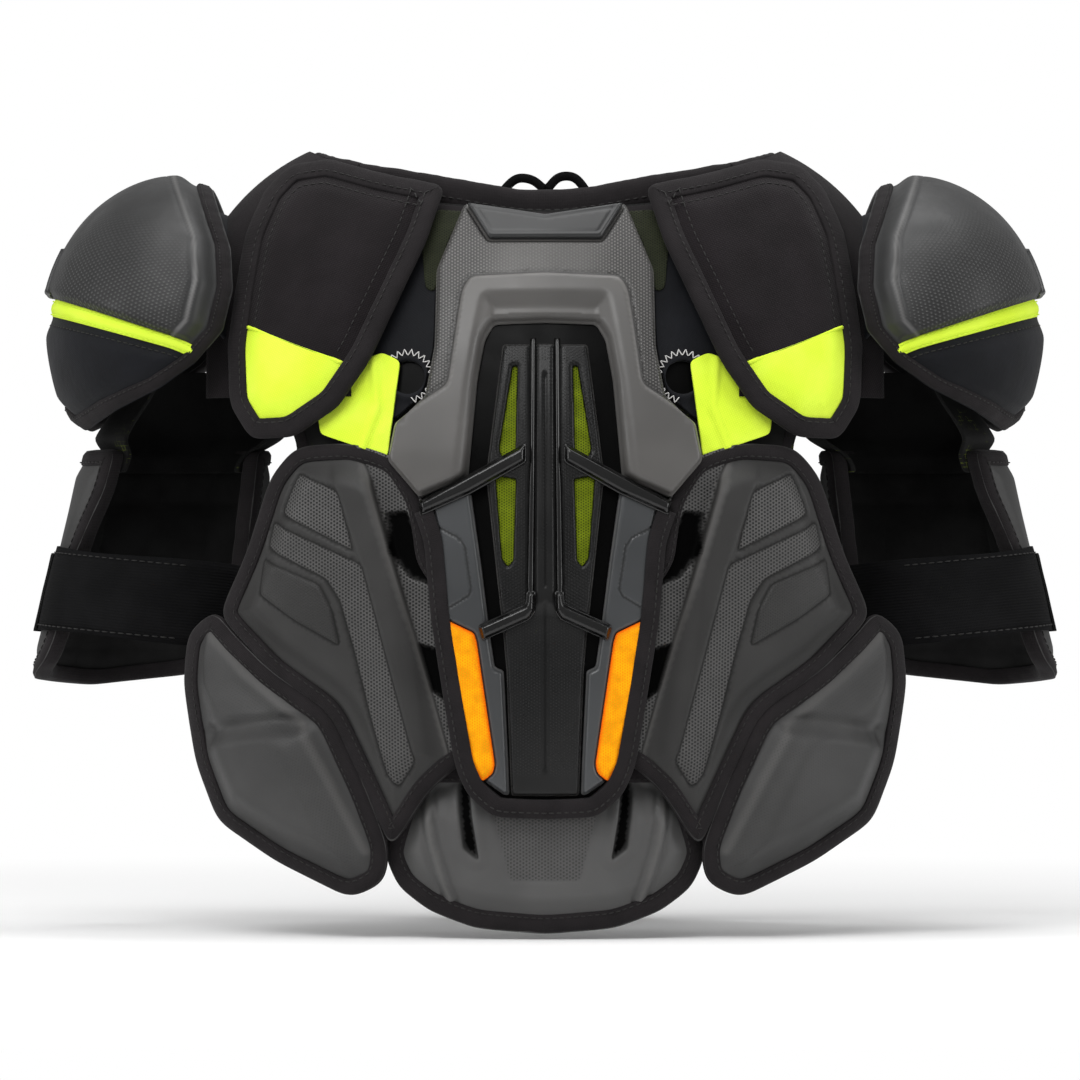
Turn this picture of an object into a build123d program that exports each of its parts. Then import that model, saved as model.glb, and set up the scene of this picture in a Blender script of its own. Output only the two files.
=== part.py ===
"""Hockey shoulder pads: moulded chest, back, shoulder caps and bicep guards on a padded liner.

Frame: +Z up, front of the wearer towards -Y, wearer's left towards +X, origin at the bottom
centre of the whole assembly. Millimetres.

Every torso piece is a patch of one padded layer: an outline drawn in the X-Z plane, cut out of
the space between two offsets of the torso form. Offset 0 is the outer face of the liner.
"""
import functools
import math
import os

from build123d import *

# ---------------------------------------------------------------- driving dimensions
FORM_HALF_WIDTH = 205.0
FORM_HALF_DEPTH = 134.0
FORM_WAIST_Z = 200.0
FORM_DOME = 238.0          # waist to the virtual top of the form
FORM_WIDTH_POWER = 3.2     # square shoulders
FORM_DEPTH_POWER = 2.0     # round chest
FORM_WAIST_TAPER = (20.0, 12.0)
FORM_LOW_RINGS = (-15.0, 95.0)                      # heights of the loft's rings below the waist
FORM_DOME_RINGS = (0.4, 0.64, 0.8, 0.9, 0.965)      # and above it, as shares of the dome
FORM_REACH = 260.0         # prisms run this far from the middle plane
FAR = 1000.0               # larger than the whole assembly
STRAIGHT = 0.02            # radians: a flatter corner than this needs no arc
ROUNDED_SHARE = 0.42       # most of a side that one corner's arc may use up

NECK_HALF_WIDTH = 120.0
NECK_HALF_DEPTH = 68.0
NECK_FLOOR = 340.0         # the neck space starts here and runs up through the form
COLLAR_ROLL = 9.0
LINER_THICKNESS = 8.0
BINDING = 10.0             # visible width of the edge tape
BINDING_PROUD = 1.0        # the tape stands this far over its panel
SOFT_CORNER = 14.0         # corner radius of the liner, belly and flaps
PANEL_CORNER = 12.0
SCAPULA_CORNER = 10.0
SHELL_CORNER = 7.0
CORE_CORNER = 3.0
GAP = 0.4                  # sewn neighbours that never move apart
CLEARANCE = 2.0            # neighbours that move

# layers: (inner offset, outer offset)
LINER = (-LINER_THICKNESS, 0.0)
BELLY = (-10.0, -1.5)
PANEL = (1.5, 13.0)
POD = (2.0, 22.0)
POD_REAR_Y = -52.0         # the pod's side edge goes no further back
BED = (1.0, 4.0)
SHELL = (4.5, 15.0)
CORE = (4.5, 12.0)
MESH = (5.5, 7.5)
CROSSBAR = (12.4, 17.0)
WING = (4.5, 12.0)
INSERT = (5.5, 10.0)
BADGE = (15.4, 17.4)
ARCH = (1.0, 7.0)
GUSSET = (1.0, 2.2)
TAB = (2.6, 4.0)
FLAP = (9.0, 16.0)
SPINE = (1.5, 17.0)
LOWER_BACK = (-8.0, 6.0)
STRAP = (-6.0, -4.0)

CAP_CENTRE = (200.0, 0.0, 325.0)
CAP_RADII = (70.0, 92.0, 82.0)
CAP_FOAM = (-8.0, 0.0)
CAP_TAPE = (-8.0, 1.0)
CAP_LINER = (-14.0, -8.4)
CAP_BADGE = (0.4, 2.0)
CAP_BADGE_SIZE = (28.0, 27.0)
CAP_BADGE_Z = 358.0
CAP_STRIPE_WIDTH = 9.5

GUARD_TOP = (202.0, 8.0, 264.0)
GUARD_BOTTOM = (225.0, 8.0, 130.0)
GUARD_TOP_RADII = (49.0, 46.0)
GUARD_BOTTOM_RADII = (57.0, 50.0)
GUARD_PAD = (-10.0, -1.4)
GUARD_SHELL = (-1.0, 2.5)
GUARD_STRAP = (3.2, 5.2)
GUARD_TAB = (5.8, 7.8)
GUARD_OPENING_Y = -14.0    # the pad and shell are open in front of this plane

HANG_LOOP_HUMP = (15.0, 20.0)  # half width and height of one hump
HANG_LOOP_WEB = 1.8
HANG_LOOP_WIDTH = 8.0
HANG_LOOP_AT = (80.0, 398.0)   # front face and foot

TORSO_STRAP_Z = (75.0, 112.0)
TORSO_STRAP_Y = (6.0, 80.0)

# ---------------------------------------------------------------- outlines, (x, z), left half
CHEST_OUTLINE = [
    (50.5, 91), (58.5, 130), (65.5, 171), (69.5, 212), (75, 232), (89, 253), (108, 262), (138, 262),
    (152, 246), (166, 204), (181, 172), (150, 144), (117, 122), (98, 82), (85, 49), (64, 79),
]
POD_OUTLINE = [
    (186, 172), (201, 161), (204, 135), (197, 92), (184, 60), (150, 39), (108, 20), (91, 30),
    (89, 46), (101, 76), (121, 117), (154, 139), (176, 158),
]
STERNUM_OUTLINE = [
    (0, 64), (28, 65), (42, 77), (49, 92), (57, 130), (64, 171), (68, 212), (73, 232), (86, 255),
    (82, 277), (65, 291), (60, 318), (59, 360), (44, 403), (0, 403),
]
STERNUM_SHELL_FLOOR = 227.0    # the edge tape ends under the sternum shell
SHELL_OUTLINE = [
    (0, 332), (30, 332), (37, 300), (42, 247), (68, 236), (85, 256), (81, 276), (65, 291),
    (60, 318), (59, 360), (43, 402), (0, 402),
]
WING_OUTLINE = [
    (40, 231), (61, 229), (57, 212), (53, 171), (46, 130), (38, 93), (33, 84), (22, 78), (20, 78),
    (20, 92), (22.5, 143), (27.5, 145), (30, 162), (35, 201),
]
CORE_OUTLINE = [(0, 319), (23, 319), (32, 248), (22.5, 160), (21, 143), (18.5, 78), (0, 78)]
INSERT_OUTLINE = [
    (53.2, 169.5), (38, 163), (36.5, 158), (27, 93), (28, 88), (33, 85), (38.3, 93), (46.4, 130),
]
UPPER_WINDOW = [(14.8, 307), (17.6, 307), (25, 262), (23, 257), (16, 259)]
LOWER_WINDOW = [(15.6, 245), (27, 247), (23.5, 202), (20, 198), (17, 202)]
UPPER_CROSSBAR = [(10, 262), (10, 255), (40, 239), (65, 228.5), (66.5, 233), (42, 244)]
LOWER_CROSSBAR = [(8, 178), (8, 170), (32, 159), (35, 164)]
BADGE_OUTLINE = [(0, 379), (33, 379), (42, 399), (0, 399)]
BELLY_OUTLINE = [(0, 0), (40, 4), (66, 13), (82, 26), (89, 42), (84, 62), (76, 92), (0, 92)]
FLAP_OUTLINE = [
    (62, 404), (77, 358), (94, 310), (112, 284), (136, 269), (164, 268), (177, 284),
    (178, 318), (171, 374), (148, 406), (128, 416), (100, 411),
]
FLAP_TOE_LINE = [(60, 287), (104, 306), (200, 345)]
GUSSET_OUTLINE = [
    (46, 401), (61, 360), (62, 320), (67, 294), (84, 279), (100, 285), (100, 330), (84, 372), (62, 404),
]
EYELET_CENTRE = (77, 306)
EYELET_RADIUS = 6.0
TAB_OUTLINE = [(81, 288), (88, 265), (100, 266), (124, 272), (122, 284), (98, 289)]
LINER_OUTLINE = [
    (0, 98), (80, 98), (104, 100), (124, 130), (150, 156), (168, 180), (160, 210), (146, 244),
    (136, 262), (150, 290), (172, 330), (178, 372), (160, 402), (124, 420), (0, 420),
]
ARCH_FRONT = ((104, 290), (186, 447))
ARCH_BACK = ((1, 383), (186, 447))
BACK_OUTLINE = [
    (0, 96), (146, 96), (144, 130), (140, 200), (137, 262), (132, 310), (120, 352), (104, 370),
    (0, 370),
]
SCAPULA_OUTLINE = [
    (34, 358), (92, 358), (106, 342), (118, 306), (124, 240), (128, 170), (130, 110), (62, 110),
    (48, 150), (36, 240),
]
SPINE_OUTLINE = [(0, 358), (31, 358), (33, 240), (45, 150), (58, 110), (0, 110)]
LOWER_BACK_OUTLINE = [(0, 0), (88, 0), (118, 24), (142, 62), (144, 90), (0, 90)]
CAP_OUTLINE = [
    (189, 420), (184, 392), (177, 370), (177, 350), (184, 325), (198, 311), (218, 298),
    (240, 286), (252, 271), (290, 271), (290, 420),
]
CAP_STRIPE_LINE = [(170, 300), (290, 342)]
CAP_FLOOR_Z = 200          # lower than any part of the cap or flap
GUARD_OUTLINE = [
    (135, 280), (262, 280), (292, 160), (276, 138), (236, 133), (186, 139), (160, 176), (146, 220),
]
GUARD_STRAP_OUTLINE = [(130, 156), (300, 172), (300, 216), (130, 200)]
GUARD_TAB_OUTLINE = [(238, 170), (268, 173), (268, 208), (238, 205)]


# ---------------------------------------------------------------- the torso form
def half_width(z, k):
    """Half width of the form at height z, offset outwards by k."""
    return _half(z, k, FORM_HALF_WIDTH, FORM_WIDTH_POWER, FORM_WAIST_TAPER[0])


def half_depth(z, k):
    """Half depth of the form at height z, offset outwards by k."""
    return _half(z, k, FORM_HALF_DEPTH, FORM_DEPTH_POWER, FORM_WAIST_TAPER[1])


def _half(z, k, radius, power, taper):
    if z <= FORM_WAIST_Z:
        return radius + k - taper * ((FORM_WAIST_Z - z) / FORM_WAIST_Z) ** 2
    t = (z - FORM_WAIST_Z) / (FORM_DOME + k)
    return (radius + k) * (1 - t**power) ** (1 / power)


@functools.cache
def form(k):
    """The torso form offset outwards by k: a loft of ellipses, closed just under its peak."""
    levels = list(FORM_LOW_RINGS) + [FORM_WAIST_Z]
    levels += [FORM_WAIST_Z + t * (FORM_DOME + k) for t in FORM_DOME_RINGS]
    rings = [Plane.XY.offset(z) * Ellipse(half_width(z, k), half_depth(z, k)) for z in levels]
    return loft(rings)


def ahead_of(y):
    """Everything in front of a plane across the body."""
    return Pos(0, y - FORM_REACH / 2, 0) * Box(FAR, FORM_REACH, FAR)


def behind(y):
    """Everything behind a plane across the body."""
    return Pos(0, y + FORM_REACH / 2, 0) * Box(FAR, FORM_REACH, FAR)


@functools.cache
def layer_space(layer, side):
    """The space between the two offsets of a layer: "front", "back" or "around"."""
    inner, outer = layer
    space = form(outer) - form(inner)
    if side == "around":
        return space
    return space & (ahead_of(0) if side == "front" else behind(0))


@functools.cache
def left_space(layer, side):
    """The wearer's left half of a layer's space, which is quicker to cut small pieces from."""
    return layer_space(layer, side) & Pos(FORM_REACH / 2, 0, 0) * Box(FORM_REACH, FAR, FAR)


def neck(grow=0.0):
    """The vertical space above the neck opening."""
    ring = Plane.XY.offset(NECK_FLOOR) * Ellipse(NECK_HALF_WIDTH + grow, NECK_HALF_DEPTH + grow)
    return extrude(ring, amount=FORM_DOME)


# ---------------------------------------------------------------- outlines and patches
def outline(points):
    """A closed face in the X-Z plane with sharp corners."""
    return Plane.XZ * make_face(Polyline(*points, close=True))


def rounded(points, radius):
    """A closed face in the X-Z plane with every corner rounded by up to radius."""
    n = len(points)
    edges, ends = [], []
    for i in range(n):
        here = Vector(*points[i])
        before = Vector(*points[i - 1]) - here
        after = Vector(*points[(i + 1) % n]) - here
        turn = math.radians(before.get_angle(after))
        if math.pi - turn < STRAIGHT:
            ends.append((here, here))
            continue
        room = ROUNDED_SHARE * min(before.length, after.length)
        cut = min(radius / math.tan(turn / 2), room)
        start = here + before.normalized() * cut
        stop = here + after.normalized() * cut
        bisector = (before.normalized() + after.normalized()).normalized()
        real_radius = cut * math.tan(turn / 2)
        middle = here + bisector * (real_radius / math.sin(turn / 2) - real_radius)
        ends.append((start, stop))
        edges.append(ThreePointArc(start, middle, stop))
    edges += [Line(ends[i][1], ends[(i + 1) % n][0]) for i in range(n)]
    return Plane.XZ * make_face(edges)


def both_sides(points):
    """A full outline from its left half, whose first and last points lie on the centre line."""
    return points + [(-x, z) for x, z in reversed(points) if x]


def shrunk(face, amount):
    return offset(face, amount=-amount, kind=Kind.INTERSECTION)


def prism(face, back=False):
    return extrude(face, amount=-FORM_REACH if back else FORM_REACH)


def patch(face, layer, back=False):
    """The part of a padded layer that lies behind an outline."""
    side = "back" if back else "front"
    one_sided = face.bounding_box().min.X >= 0
    space = left_space(layer, side) if one_sided else layer_space(layer, side)
    return prism(face, back) & space


def bound_patch(face, layer, back=False):
    """A panel and the tape sewn round its edge, as two solids that don't overlap."""
    tape_layer = (layer[0] - BINDING_PROUD, layer[1] + BINDING_PROUD)
    panel = patch(shrunk(face, BINDING + GAP), layer, back)
    tape = patch(face - shrunk(face, BINDING), tape_layer, back)
    return panel, tape


def mirrored(shape):
    return mirror(shape, about=Plane.YZ)


def group(*shapes):
    return Compound(children=[solid for shape in shapes for solid in shape.solids()])


def with_mirror(left):
    """Both pieces of a pair from the left one, as one group."""
    return group(left, mirrored(left))


# ---------------------------------------------------------------- chest and belly
def chest():
    """The liner and the belly flap across the body, then one chest panel and rib pod."""
    liner_face = rounded(both_sides(LINER_OUTLINE), SOFT_CORNER)
    belly, belly_tape = bound_patch(rounded(both_sides(BELLY_OUTLINE), SOFT_CORNER), BELLY)
    middle = {
        "chest_liner": patch(liner_face, LINER) - neck(COLLAR_ROLL + GAP),
        "belly_pad": belly,
        "belly_binding": belly_tape,
    }
    panel, panel_tape = bound_patch(rounded(CHEST_OUTLINE, PANEL_CORNER), PANEL)
    pod, pod_tape = bound_patch(rounded(POD_OUTLINE, PANEL_CORNER), POD)
    left = {
        "chest_panel": panel,
        "chest_binding": panel_tape,
        "rib_pod": pod & ahead_of(POD_REAR_Y),
        "rib_pod_binding": pod_tape & ahead_of(POD_REAR_Y),
    }
    return middle, left


# ---------------------------------------------------------------- sternum guard
def sternum():
    """The hard sternum guard: shell, wings and a slotted core on one thin bed."""
    face = outline(both_sides(STERNUM_OUTLINE))
    inside = shrunk(face, BINDING)
    low = rectangle((-FORM_REACH, 0), (FORM_REACH, STERNUM_SHELL_FLOOR))
    collar_space = neck(COLLAR_ROLL + GAP)
    return {
        "sternum_bed": patch(shrunk(face, BINDING + GAP), BED) - collar_space,
        "sternum_binding": patch((face - inside) & low, (BED[0], WING[1] + BINDING_PROUD)),
        "sternum_shell": patch(rounded(both_sides(SHELL_OUTLINE), SHELL_CORNER), SHELL) - collar_space,
        "sternum_wings": sternum_wings(),
        "orange_inserts": with_mirror(patch(shrunk(outline(INSERT_OUTLINE), GAP), INSERT)),
        "sternum_core": sternum_core(),
        "core_meshes": core_meshes(),
        "core_crossbars": core_crossbars(),
        "badge_plate": patch(outline(both_sides(BADGE_OUTLINE)), BADGE) - collar_space,
    }


def sternum_wings():
    """The two side plates, cut away where the orange inserts sit."""
    return with_mirror(patch(outline(WING_OUTLINE) - outline(INSERT_OUTLINE), WING))


def sternum_core():
    """The centre plate with four mesh windows cut through it."""
    face = rounded(both_sides(CORE_OUTLINE), CORE_CORNER)
    for window in (UPPER_WINDOW, LOWER_WINDOW):
        opening = outline(window)
        face = face - opening - mirrored(opening)
    return patch(face, CORE)


def core_meshes():
    left = [patch(shrunk(outline(window), GAP), MESH) for window in (UPPER_WINDOW, LOWER_WINDOW)]
    return with_mirror(group(*left))


def core_crossbars():
    left = [patch(outline(bar), CROSSBAR) for bar in (UPPER_CROSSBAR, LOWER_CROSSBAR)]
    return with_mirror(group(*left))


# ---------------------------------------------------------------- collar and shoulders
def collar():
    """The rolled band round the neck opening."""
    band = neck(COLLAR_ROLL) - neck()
    return band & layer_space((-COLLAR_ROLL, COLLAR_ROLL), "around")


def hang_loops():
    """Two humps of webbing sewn behind the collar."""
    reach, height = HANG_LOOP_HUMP
    face_y, foot_z = HANG_LOOP_AT
    arch = Ellipse(reach, height) - Ellipse(reach - HANG_LOOP_WEB, height - HANG_LOOP_WEB)
    arch &= Pos(0, height / 2) * Rectangle(4 * reach, height)
    humps = Pos(-reach, 0) * arch + Pos(reach - HANG_LOOP_WEB, 0) * arch
    web = extrude(Plane.XZ.offset(-face_y) * (Pos(0, foot_z) * humps), amount=-HANG_LOOP_WIDTH)
    return web - form(ARCH[1] + GAP)


def shoulder_arch():
    """The soft bridge from the front, over the shoulder, to the back yoke."""
    front = prism(rectangle(*ARCH_FRONT))
    back = prism(rectangle(*ARCH_BACK), back=True)
    space = layer_space(ARCH, "around")
    return (front + back) & space - neck(COLLAR_ROLL + GAP)


def rectangle(low, high):
    """An X-Z rectangle from its two corners."""
    size = (high[0] - low[0], high[1] - low[1])
    return Plane.XZ * (Pos((high[0] + low[0]) / 2, (high[1] + low[1]) / 2) * Rectangle(*size))


def gusset():
    """The thin stretch panel between sternum and flap, with a stitched eyelet."""
    hole = Plane.XZ * (Pos(*EYELET_CENTRE) * Circle(EYELET_RADIUS))
    return patch(outline(GUSSET_OUTLINE) - hole, GUSSET) - neck(COLLAR_ROLL + GAP)


def flap():
    """The floating collarbone flap: main pad, bright toe and edge tape."""
    face = rounded(FLAP_OUTLINE, SOFT_CORNER)
    (toe_x, _), _, (end_x, _) = FLAP_TOE_LINE
    toe_side = outline(FLAP_TOE_LINE + [(end_x, CAP_FLOOR_Z), (toe_x, CAP_FLOOR_Z)])
    inner = shrunk(face, BINDING + GAP)
    tape_layer = (FLAP[0] - BINDING_PROUD, FLAP[1] + BINDING_PROUD)
    collar_space = neck(COLLAR_ROLL + CLEARANCE)
    return {
        "flap": patch(inner - toe_side, FLAP) - collar_space,
        "flap_toe": patch(inner & shrunk(toe_side, GAP), FLAP),
        "flap_binding": patch(face - shrunk(face, BINDING), tape_layer) - collar_space,
    }


def shoulders():
    middle = {
        "collar": collar(),
        "hang_loops": hang_loops(),
        "gussets": with_mirror(gusset()),
        "lime_tabs": with_mirror(patch(outline(TAB_OUTLINE), TAB)),
    }
    return middle, {"shoulder_arch": shoulder_arch()} | flap()


# ---------------------------------------------------------------- shoulder caps
def cap_space(layer):
    """The space between two offsets of the cap ellipsoid."""
    outer, inner = (
        scale(Sphere(1), by=tuple(radius + k for radius in CAP_RADII)) for k in reversed(layer)
    )
    return Pos(*CAP_CENTRE) * (outer - inner)


def through(face):
    """A prism that runs right through the cap or guard, front to back."""
    return extrude(face, amount=FORM_REACH, both=True)


def cap():
    """The left shoulder cap: foam above a bright stripe, fabric skirt below, taped all round."""
    face = outline(CAP_OUTLINE)
    inside = shrunk(face, BINDING + GAP)
    (x0, z0), (x1, z1) = CAP_STRIPE_LINE
    below = outline([(x0, z0), (x1, z1), (x1, CAP_FLOOR_Z), (x0, CAP_FLOOR_Z)])
    stripe = outline([(x0, z0), (x1, z1), (x1, z1 + CAP_STRIPE_WIDTH), (x0, z0 + CAP_STRIPE_WIDTH)])
    foam = cap_space(CAP_FOAM)
    cap_side_x = CAP_CENTRE[0] + CAP_RADII[0]
    badge_box = Pos(cap_side_x, 0, CAP_BADGE_Z) * Box(CAP_RADII[0], *CAP_BADGE_SIZE)
    return {
        "cap_shell": through(inside - below - stripe) & foam,
        "cap_stripe": through(inside & shrunk(stripe, GAP)) & foam,
        "cap_skirt": through(inside & below) & foam,
        "cap_binding": through(face - shrunk(face, BINDING)) & cap_space(CAP_TAPE),
        "cap_liner": through(inside) & cap_space(CAP_LINER),
        "cap_badge": badge_box & cap_space(CAP_BADGE),
    }


# ---------------------------------------------------------------- bicep guards
def guard_space(layer):
    """The space between two offsets of the tapered upper-arm tube."""
    tubes = []
    for k in layer:
        top = Pos(*GUARD_TOP) * Ellipse(*(radius + k for radius in GUARD_TOP_RADII))
        bottom = Pos(*GUARD_BOTTOM) * Ellipse(*(radius + k for radius in GUARD_BOTTOM_RADII))
        tubes.append(loft([bottom, top]))
    return tubes[1] - tubes[0]


def bicep_guard():
    """The left upper-arm guard: a half pipe open at the front, held by a wide elastic strap."""
    half_pipe = behind(GUARD_OPENING_Y)
    trim = through(rounded(GUARD_OUTLINE, PANEL_CORNER)) & half_pipe
    tab = through(outline(GUARD_TAB_OUTLINE)) - half_pipe
    return {
        "bicep_pad": trim & guard_space(GUARD_PAD),
        "bicep_shell": trim & guard_space(GUARD_SHELL),
        "bicep_strap": through(outline(GUARD_STRAP_OUTLINE)) & guard_space(GUARD_STRAP),
        "bicep_tab": tab & guard_space(GUARD_TAB),
    }


# ---------------------------------------------------------------- back
def back():
    liner, tape = bound_patch(rounded(both_sides(BACK_OUTLINE), PANEL_CORNER), LINER, back=True)
    return {
        "back_liner": liner,
        "back_binding": tape,
        "scapula_pads": with_mirror(patch(rounded(SCAPULA_OUTLINE, SCAPULA_CORNER), PANEL, back=True)),
        "spine_guard": patch(outline(both_sides(SPINE_OUTLINE)), SPINE, back=True),
        "lower_back_pad": patch(outline(both_sides(LOWER_BACK_OUTLINE)), LOWER_BACK, back=True),
    }


def torso_strap():
    """The left elastic side strap, sewn to the back and free at the front."""
    (y0, y1), (z0, z1) = TORSO_STRAP_Y, TORSO_STRAP_Z
    window = Pos(FORM_REACH / 2, (y0 + y1) / 2, (z0 + z1) / 2) * Box(FORM_REACH, y1 - y0, z1 - z0)
    return window & layer_space(STRAP, "around")


# ---------------------------------------------------------------- assembly
def all_pieces():
    chest_middle, chest_left = chest()
    shoulder_middle, shoulder_left = shoulders()
    pieces = chest_middle | sternum() | shoulder_middle | back()
    left = chest_left | shoulder_left | cap() | bicep_guard() | {"torso_strap": torso_strap()}
    for name, piece in left.items():
        pieces[f"{name}_left"] = piece
        pieces[f"{name}_right"] = mirrored(piece)
    return pieces


def main():
    os.makedirs("parts", exist_ok=True)
    pieces = all_pieces()
    box = group(*pieces.values()).bounding_box()
    to_origin = Pos(0, -(box.min.Y + box.max.Y) / 2, -box.min.Z)
    for name, piece in pieces.items():
        export_step(to_origin * piece, f"parts/{name}.step")


main()
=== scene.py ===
"""The looks of a pair of hockey shoulder pads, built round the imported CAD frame.

Torso pieces are drawn flat, as outlines in millimetres across (x) and up (z), then laid on the
torso form at a given offset k. Caps and upper-arm guards do the same on their own surfaces.
"""

import math

import bmesh
import bpy
import numpy as np
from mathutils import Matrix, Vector
from mathutils.geometry import delaunay_2d_cdt


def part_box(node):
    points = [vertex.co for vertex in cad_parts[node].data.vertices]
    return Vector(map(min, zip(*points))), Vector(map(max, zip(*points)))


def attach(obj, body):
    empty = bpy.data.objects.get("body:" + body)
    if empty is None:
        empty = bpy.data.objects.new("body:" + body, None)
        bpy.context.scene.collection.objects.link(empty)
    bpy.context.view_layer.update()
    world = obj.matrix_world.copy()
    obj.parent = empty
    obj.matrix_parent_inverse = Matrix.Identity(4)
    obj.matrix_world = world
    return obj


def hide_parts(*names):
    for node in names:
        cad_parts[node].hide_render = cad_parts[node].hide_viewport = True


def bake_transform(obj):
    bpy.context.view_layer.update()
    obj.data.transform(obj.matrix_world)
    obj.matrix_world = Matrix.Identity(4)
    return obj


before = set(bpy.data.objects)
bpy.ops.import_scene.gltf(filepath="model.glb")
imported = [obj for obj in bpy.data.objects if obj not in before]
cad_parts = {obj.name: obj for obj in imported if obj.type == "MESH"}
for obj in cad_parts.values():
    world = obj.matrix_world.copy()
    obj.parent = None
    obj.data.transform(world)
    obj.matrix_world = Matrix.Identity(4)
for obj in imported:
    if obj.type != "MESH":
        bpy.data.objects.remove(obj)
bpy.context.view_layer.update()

# ---------------------------------------------------------------- driving dimensions, mm
MM = 0.001
LEFT, RIGHT = 1, -1
FORM_HALF_WIDTH = 205.0
FORM_HALF_DEPTH = 134.0
FORM_WAIST_Z = 200.0
FORM_DOME = 238.0
FORM_WIDTH_POWER = 3.2
FORM_DEPTH_POWER = 2.0
FORM_WAIST_TAPER = (20.0, 12.0)
PANEL_TOP = 13.0           # offset of the torso surface on which outlines are drawn
BINDING = 10.0             # tape seen on most pieces
PANEL_BINDING = 8.5        # tape seen on the chest panels and rib pods
EASED_BEYOND = 3.0         # a loop moved further than this is eased as well

collar_low, collar_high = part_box("collar")
MIDDLE_Y = (collar_low.y + collar_high.y) / 2 / MM
COLLAR_HALF_WIDTH = (collar_high.x - collar_low.x) / 2 / MM
COLLAR_HALF_DEPTH = (collar_high.y - collar_low.y) / 2 / MM

CAP_RADII = (70.0, 92.0, 82.0)
CAP_CENTRE = (200.0, MIDDLE_Y, 325.0)
CAP_PLAN_RADIUS = 80.0     # millimetres of plan per radian on a cap


# ---------------------------------------------------------------- surfaces
def half(z, k, radius, power, taper):
    """Half width or half depth of the torso form at height z, offset outwards by k."""
    z = np.asarray(z, float)
    low = radius + k - taper * (np.clip(FORM_WAIST_Z - z, 0, None) / FORM_WAIST_Z) ** 2
    t = np.clip((z - FORM_WAIST_Z) / (FORM_DOME + k), 0, 0.995)
    return np.where(z < FORM_WAIST_Z, low, (radius + k) * (1 - t**power) ** (1 / power))


def half_width(z, k):
    return half(z, k, FORM_HALF_WIDTH, FORM_WIDTH_POWER, FORM_WAIST_TAPER[0])


def half_depth(z, k):
    return half(z, k, FORM_HALF_DEPTH, FORM_DEPTH_POWER, FORM_WAIST_TAPER[1])


def torso(plan, k, side=-1):
    """Plan points on the torso form, offset k from the liner. side -1 is the front, 1 the back."""
    x, z = plan[:, 0], plan[:, 1]
    a, b = half_width(z, PANEL_TOP), half_depth(z, PANEL_TOP)
    root = np.sqrt(np.clip(1 - (x / a) ** 2, 0.0004, 1))
    y = side * b * root
    step = 0.5
    da = (half_width(z + step, PANEL_TOP) - half_width(z - step, PANEL_TOP)) / (2 * step)
    db = (half_depth(z + step, PANEL_TOP) - half_depth(z - step, PANEL_TOP)) / (2 * step)
    normal = np.stack([x / a**2, y / b**2, -(x**2 * da / a**3 + y**2 * db / b**3)], 1)
    normal /= np.linalg.norm(normal, axis=1)[:, None]
    points = np.stack([x, y + MIDDLE_Y, z], 1)
    return points + normal * (np.broadcast_to(k, len(x)) - PANEL_TOP)[:, None]


def torso_back(plan, k):
    return torso(plan, k, 1)


def cap_surface(plan, k):
    """Plan points on the left shoulder cap. The plan is centred on the cap's side."""
    rho = np.hypot(plan[:, 0], plan[:, 1]) / CAP_PLAN_RADIUS
    turn = np.arctan2(plan[:, 1], plan[:, 0])
    unit = np.stack([np.cos(rho), np.sin(rho) * np.cos(turn), np.sin(rho) * np.sin(turn)], 1)
    normal = unit / np.array(CAP_RADII)
    normal /= np.linalg.norm(normal, axis=1)[:, None]
    return np.array(CAP_CENTRE) + unit * np.array(CAP_RADII) + normal * np.broadcast_to(k, len(rho))[:, None]


def cap_plan(x, z, side=-1):
    """The cap's plan point seen from the front (or back) at x, z."""
    across = (np.asarray(x, float) - CAP_CENTRE[0]) / CAP_RADII[0]
    up = (np.asarray(z, float) - CAP_CENTRE[2]) / CAP_RADII[2]
    reach = np.hypot(across, up)
    shrink = np.where(reach > 1, 1 / np.maximum(reach, 1e-9), 1.0)
    across, up = across * shrink, up * shrink
    depth = side * np.sqrt(np.clip(1 - across**2 - up**2, 0, 1))
    rho = np.arccos(np.clip(across, -1, 1))
    turn = np.arctan2(up, depth)
    return np.stack([rho * np.cos(turn), rho * np.sin(turn)], -1) * CAP_PLAN_RADIUS


GUARD_TOP = (202.0, 264.0, 49.0, 46.0)       # centre x, z, half width, half depth
GUARD_BOTTOM = (225.0, 130.0, 57.0, 50.0)
GUARD_CENTRE_Y = MIDDLE_Y + 8.0
GUARD_PLAN_RADIUS = 52.0


def guard_surface(plan, k):
    """Plan points on the left upper-arm tube: across is the turn from its outer side, up is z."""
    turn, z = plan[:, 0] / GUARD_PLAN_RADIUS, plan[:, 1]
    t = (GUARD_TOP[1] - z) / (GUARD_TOP[1] - GUARD_BOTTOM[1])
    centre = GUARD_TOP[0] + t * (GUARD_BOTTOM[0] - GUARD_TOP[0])
    wide = GUARD_TOP[2] + t * (GUARD_BOTTOM[2] - GUARD_TOP[2]) + k
    deep = GUARD_TOP[3] + t * (GUARD_BOTTOM[3] - GUARD_TOP[3]) + k
    return np.stack([centre + wide * np.cos(turn), GUARD_CENTRE_Y - deep * np.sin(turn), z], 1)


def guard_turn(degrees):
    """Plan position across a guard: 0 is its outer side, 90 its front, -90 its back."""
    return math.radians(degrees) * GUARD_PLAN_RADIUS


# ---------------------------------------------------------------- flat outlines
def both_sides(points):
    """A full outline from its left half, whose first and last points lie on the centre line."""
    return points + [(-x, z) for x, z in reversed(points) if x]


def across_middle(points):
    """An open line over both sides from its left half, which starts on the centre line."""
    return [(-x, z) for x, z in reversed(points[1:])] + points


def run_of(line):
    """The distance along a line to each of its points."""
    return np.concatenate([[0], np.cumsum(np.linalg.norm(np.diff(line, axis=0), axis=1))])


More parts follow.
